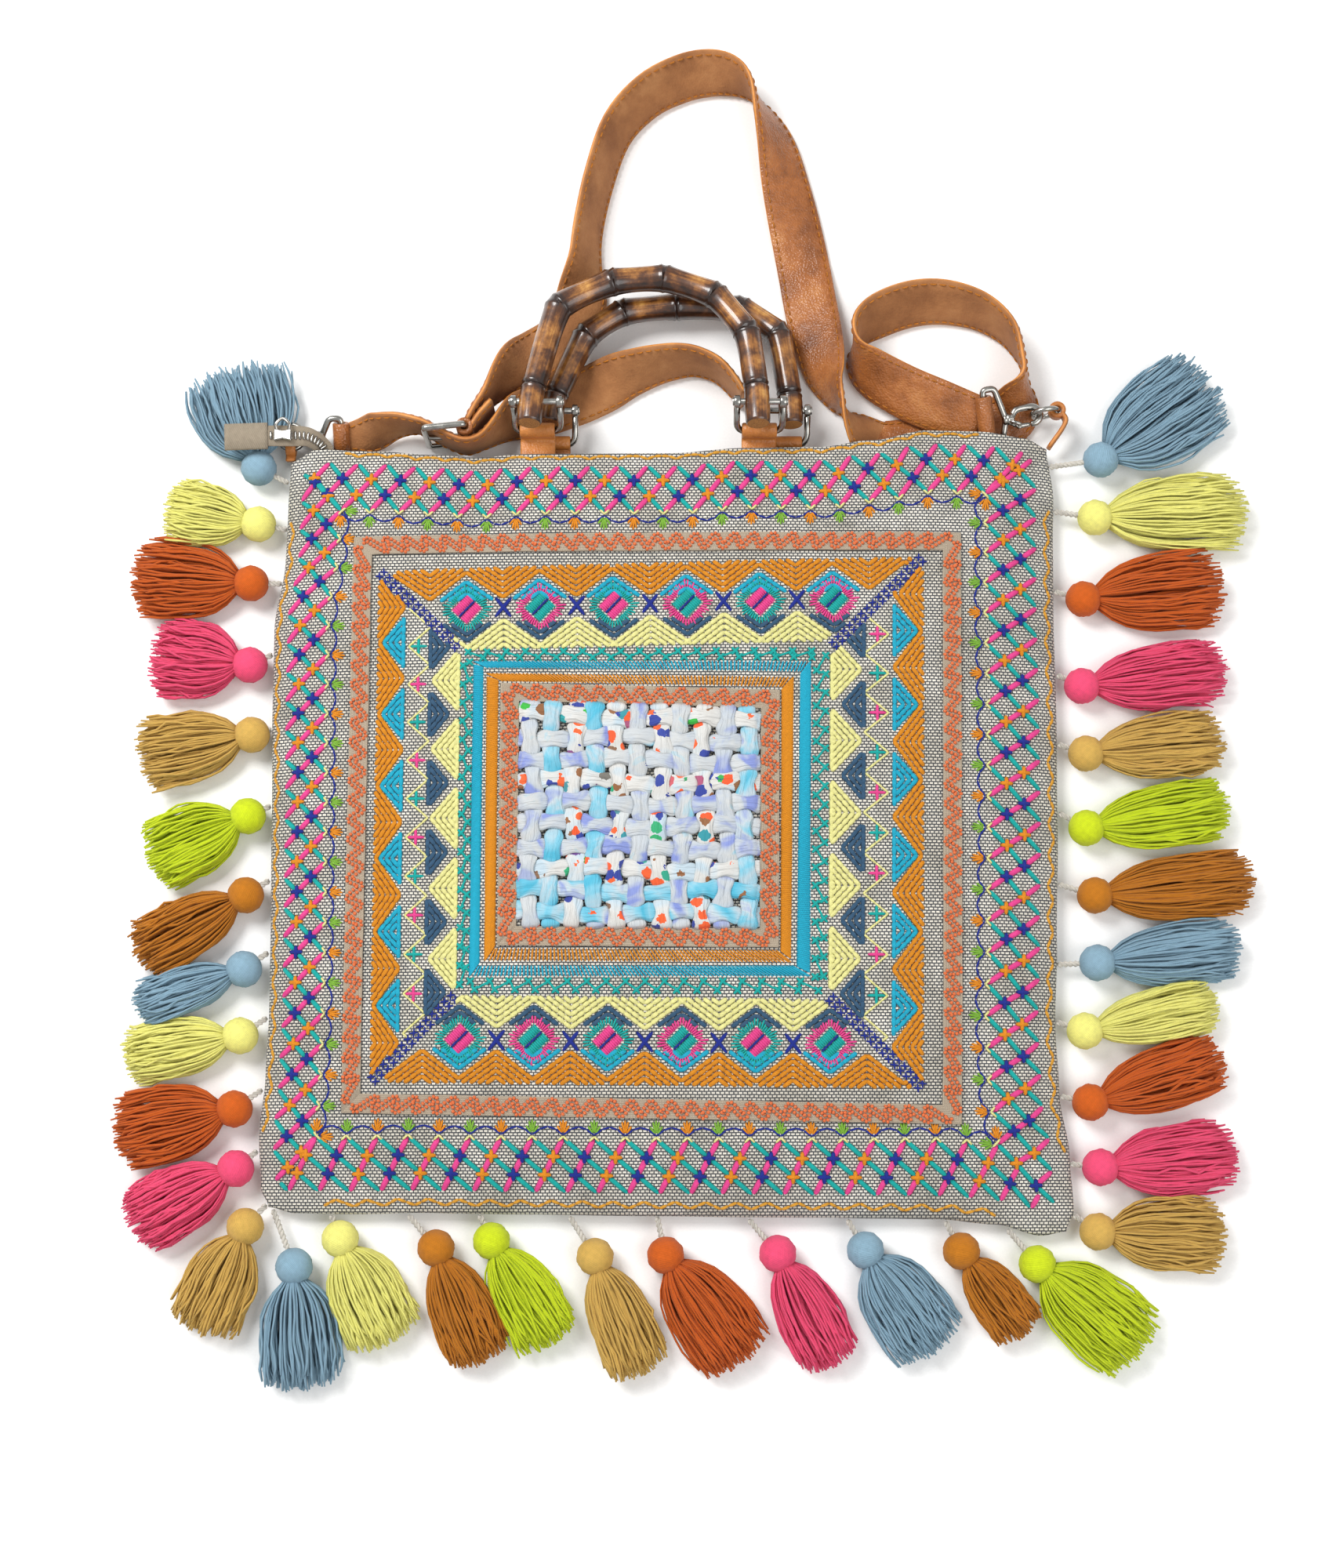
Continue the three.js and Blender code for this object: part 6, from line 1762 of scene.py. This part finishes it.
def lip_tape(pile, edge, side):
    """Cotton tape inside one lip of the mouth."""
    u = np.linspace(*TAPE_ENDS, TAPE_POINTS)
    rings = []
    for inset, depth in TAPE_SECTION:
        v = np.full_like(u, 1 - inset / POUCH_TALL)
        x, y = plan(u, v, edge)
        z = front_height(u, v, x, y) if edge == FRONT_MOUTH else back_height(u, v)
        rings.append(np.stack([x, y, z + side * (WALL + depth)], -1))
    points = np.stack(rings, 1)
    faces = skin(len(u), len(TAPE_SECTION))
    pile.put(points, faces if side > 0 else faces[:, ::-1], points[:, :, :2])


def tail_tape(pile, rows):
    """Length of tape that lies free of the mouth; gives its run, middle line and cross axes."""
    fine = smooth(rows, 6)
    path = fine[:, :3]
    along = unit(np.gradient(path, axis=0))
    side = unit(np.column_stack([along[:, 1], -along[:, 0], np.zeros(len(along))]))
    up = np.cross(side, along)
    points = np.stack([
        path + side * (fine[:, 3] * w)[:, None] + up * (fine[:, 4] / 2 * t)[:, None] for w, t in TAIL_SECTION
    ], 1)
    run = run_along(path)
    uvs = together(run[:, None], np.array([w * TAIL_GIRTH for w, _ in TAIL_SECTION]))
    pile.put(points, skin(len(path), len(TAIL_SECTION)), uvs)
    return run, path, side, up


def zip_tapes():
    """A cotton tape inside each lip, the tail with its teeth, and a folded cloth end."""
    pile = Pile()
    lip_tape(pile, FRONT_MOUTH, -1)
    lip_tape(pile, REAR_MOUTH, 1)
    run, path, side, up = tail_tape(pile, ZIP_TAIL)
    for stop in np.arange(TOOTH_START, run[-1] - 1, TOOTH_PITCH):
        seat, across, lift = [at_stops(stop, run, table) for table in (path, side, up)]
        tooth = [seat + lift + across * w for w in TOOTH_REACH]
        pile.put(*rod_parts(tooth, TOOTH_RADII, 6), slot=1)
    tail_tape(pile, ZIP_END)
    return settle(pile.piece("zip_cotton_tape", [ZIP_CLOTH, NICKEL]), "bag", "zip", "zip_tape")


def zip_slider():
    """Slider body with a pinched waist, and its bent wire pull."""
    bpy.ops.object.select_all(action="DESELECT")
    bpy.ops.mesh.primitive_cube_add(size=1, location=[c * MM for c in SLIDER])
    body = bpy.context.object
    body.scale = [c * MM for c in SLIDER_SIZE]
    bpy.ops.object.transform_apply(location=True, rotation=True, scale=True)
    bpy.ops.object.mode_set(mode="EDIT")
    bpy.ops.mesh.select_all(action="SELECT")
    bpy.ops.mesh.subdivide(number_cuts=3)
    bpy.ops.object.mode_set(mode="OBJECT")
    for vertex in body.data.vertices:
        share = abs(vertex.co.x / MM - SLIDER[0]) / (SLIDER_SIZE[0] / 2)
        pinch = SLIDER_WAIST + (1 - SLIDER_WAIST) * share
        vertex.co.y = SLIDER[1] * MM + (vertex.co.y - SLIDER[1] * MM) * pinch
    bevel = body.modifiers.new("rim", "BEVEL")
    bevel.width = SLIDER_BEVEL * MM
    bevel.segments = 2
    apply_all(body)
    body.data.materials.append(NICKEL)
    pull = smooth(np.add(SLIDER, PULL), 6)
    wire = metal_rod("pull", pull, PULL_ROD, False, 10)
    return settle(joined("zip_slider_nickel", [body, wire]), "bag", "nickel", "zip_slider")


# Tassels


def seam_end(head, aim):
    """Where a cord that runs from a tassel's head towards the bag stops, just short of the seam."""
    long = np.linalg.norm(aim - head)
    way = unit(aim - head)
    beside = np.array([-way[1], way[0]]) * CORD_RADIUS
    reach = np.linspace(0, 2.5 * long, SEAM_TRIES)
    first = reach[-1]
    for share in (-1, 0, 1):
        line = head + beside * share + way * reach[:, None]
        nearest = np.column_stack(plan(*shares(line[:, 0], line[:, 1])))
        inside = np.linalg.norm(line - nearest, axis=1) < SEAM_NEAR
        if inside.any():
            first = min(first, reach[np.argmax(inside)])
    return head + way * (first - CORD_GAP)


def tassel_head(pile, head, along, side, up):
    """Wound ball of yarn, open towards the skirt."""
    angle = circle(HEAD_AROUND)
    polar = np.radians(np.linspace(*HEAD_SPAN, HEAD_RINGS))[:, None]
    size = HEAD_RADIUS * np.cos(polar) * (1 + WINDING * np.sin(7 * angle + polar * 9))
    points = (head + along * (HEAD_RADIUS * np.sin(polar))[..., None]
              + side * (size * np.cos(angle))[..., None] + up * (size * np.sin(angle))[..., None])
    uvs = together(polar * HEAD_RADIUS, angle * HEAD_RADIUS)
    pile.put(points, skin(HEAD_RINGS, HEAD_AROUND), uvs)


def tassel_skirt(pile, rng, head, along, side, up, length, half):
    """Fanned skirt of wavy yarns that sinks from the head to the floor."""
    neck = HEAD_RADIUS * NECK_SHARE
    t = np.linspace(0, 1, STRAND_STEPS)
    sunk = np.clip(t / SKIRT_REST, 0, 1)
    sunk = sunk ** 2 * (3 - 2 * sunk)
    flare = BELL_START + (1 - BELL_START) * (1 - (1 - t) ** BELL_FLARE)
    thick = SKIRT_NECK + (SKIRT_THICK - SKIRT_NECK) * flare
    middle = head[2] * (1 - sunk) + (thick + SKIRT_LIFT) * sunk
    for _ in range(STRANDS):
        ray = rng.uniform(0, 2 * math.pi)
        far = math.sqrt(rng.uniform(0, 1))
        fan = far * math.cos(ray)
        layer = far * math.sin(ray)
        reach = (length - neck) * rng.uniform(*STRAND_LENGTHS) * (1 - 0.1 * fan * fan)
        phase = rng.uniform(0, 6.28, 3)
        curl = rng.uniform(*STRAND_CURLS) * (STRAY_CURL if rng.uniform(0, 1) > STRAY_PAST else 1.0)
        beat = rng.uniform(*STRAND_WAVES)
        spread = half * SKIRT_FULL * fan * flare + curl * t * np.sin(beat * 6.28 * t + phase[0])
        height = middle + layer * thick + 0.6 * curl * t * np.sin(beat * 5.1 * t + phase[1])
        width = STRAND_RADIUS * rng.uniform(*STRAND_WIDTHS) * np.interp(t, STRAND_STOPS, STRAND_TAPER)
        path = head + along * (neck + reach * t)[:, None] + side * spread[:, None]
        path[:, 2] = np.maximum(height, STRAND_FLOOR + width)
        points, faces, uvs = rod_parts(path, width, 4, False, tuple(up))
        pile.put(points, faces, uvs + phase[2] * 30)


def tassel_cord(pile, start, end):
    """Two plies of cotton twisted round each other."""
    run = np.linalg.norm(end - start)
    share = np.linspace(0, 1, max(8, int(run / CORD_STEP)))
    line = start + (end - start) * share[:, None]
    _, one, two = frames(line, (0.0, 0.0, 1.0))
    for ply in (0, math.pi):
        turn = (share * run / TWIST_PITCH * 2 * math.pi + ply)[:, None]
        path = line + PLY_OFF * (np.cos(turn) * one + np.sin(turn) * two)
        pile.put(*rod_parts(path, CORD_RADIUS * PLY_SHARE, 8), slot=1)


def tassel(row):
    """A twisted cord from the seam, a wound head, and a fanned skirt of wavy yarns."""
    name, x, y, heading, length, half, *aim = row
    rng = np.random.default_rng(sum(ord(c) * (k + 1) for k, c in enumerate(name)))
    colour = name.split("_")[2]
    turn = math.radians(heading)
    along = np.array([math.cos(turn), math.sin(turn), 0.0])
    side = np.array([-along[1], along[0], 0.0])
    up = np.array([0.0, 0.0, 1.0])
    head = np.array([x, y, HEAD_RADIUS + FLOOR_PLAY])
    pile = Pile()
    tassel_head(pile, head, along, side, up)
    tassel_skirt(pile, rng, head, along, side, up, length, half)
    start = np.append(seam_end(head[:2], np.array(aim)), RIM_Z + CORD_RISE)
    tassel_cord(pile, start, head + unit(start - head) * HEAD_RADIUS * CORD_SINK)
    made = pile.piece("yarn_tassel_" + name, [TASSEL_YARN[colour], CORD_WHITE])
    return settle(made, "bag", "thread_" + colour, "tassel_" + name)


# Assembly
pouch = canvas_pouch()
on_cloth = [
    sewn_ribbon("outer_ribbon", "outer_trim", OUTER_TRIM),
    sewn_ribbon("inner_ribbon", "inner_trim", INNER_TRIM),
    woven_patch(),
]
needle = Needle()
lattice_border(needle)
for side in ("top", "bottom"):
    panel_long_side(needle, side)
for side in ("left", "right"):
    panel_short_side(needle, side)
mitre_ribbons(needle)
knotted_row(needle)
satin_bands(needle)
bead_wave(needle, OUTER_TRIM)
bead_wave(needle, INNER_TRIM)
for colour in needle.rows:
    code, slot = EMBROIDERY[colour]
    material = stranded("embroidery_wool_" + colour, code)
    on_cloth.append(settle(needle.sew(colour, "embroidery_" + colour, material), "bag", slot))

bamboo_bow(FRONT_HANDLE, "front_handle")
bamboo_bow(REAR_HANDLE, "bag")
for row in SHACKLES:
    shackle(row)
    handle_tab(row)
straps()
strap_buckle()
snap_hook(RIGHT_HOOK, "right_hook_nickel", "right_hook")
snap_hook(LEFT_HOOK, "left_hook_nickel", "left_hook")
gate_lever()
middle, along, _ = wire_ring(RIGHT_HOOK, RIGHT_RING, "right_ring_nickel", "right_ring")
fold = middle + along * RIGHT_TAB_OFF
tongue = [*(fold + RIGHT_TONGUE), RIGHT_TAB_END]
ring_tab("right_ring_leather", "right_ring_tab", fold, (0, 0, 1), RIGHT_TAB_HALF, tongue)
middle, _, other = wire_ring(LEFT_HOOK, LEFT_RING, "left_ring_nickel", "left_ring")
fold = middle - other * np.sign(other[1]) * LEFT_TAB_OFF
ring_tab("left_ring_leather", "left_ring_tab", fold, (1, 0, 0), LEFT_TAB_HALF, fold + LEFT_TONGUE)
zip_tapes()
zip_slider()
for row in TASSELS:
    tassel(row)

# Studio: pale floor, soft light from the upper left, camera above the front
bpy.ops.mesh.primitive_plane_add(size=FLOOR_SIZE, location=(0, 0, FLOOR_Z))
floor = bpy.context.object
floor.name = "studio_floor"
floor.data.materials.append(floor_paper())


def facing(place, aim):
    """Turn of a lamp or camera that looks from a place to an aim."""
    return (Vector(aim) - Vector(place)).to_track_quat("-Z", "Y").to_euler()


def soft_light(name, place, breadth, watts):
    """Round soft lamp that looks at the origin."""
    bpy.ops.object.light_add(type="AREA", location=place)
    lamp = bpy.context.object
    lamp.name = name
    lamp.data.shape = "DISK"
    lamp.data.size = breadth
    lamp.data.energy = watts
    lamp.rotation_euler = facing(place, (0, 0, 0))


soft_light("key_light", *KEY_LAMP)
soft_light("fill_light", *FILL_LAMP)
world = bpy.data.worlds.new("studio_air")
world.use_nodes = True
world.node_tree.nodes["Background"].inputs["Color"].default_value = (1, 1, 1, 1)
world.node_tree.nodes["Background"].inputs["Strength"].default_value = SKY
bpy.context.scene.world = world
bpy.context.scene.view_settings.view_transform = "Standard"

bpy.ops.object.camera_add(location=CAMERA_AT)
camera = bpy.context.object
camera.rotation_euler = facing(CAMERA_AT, CAMERA_AIM)
camera.data.lens = CAMERA_LENS
camera.data.sensor_width = CAMERA_SENSOR
bpy.context.scene.camera = camera
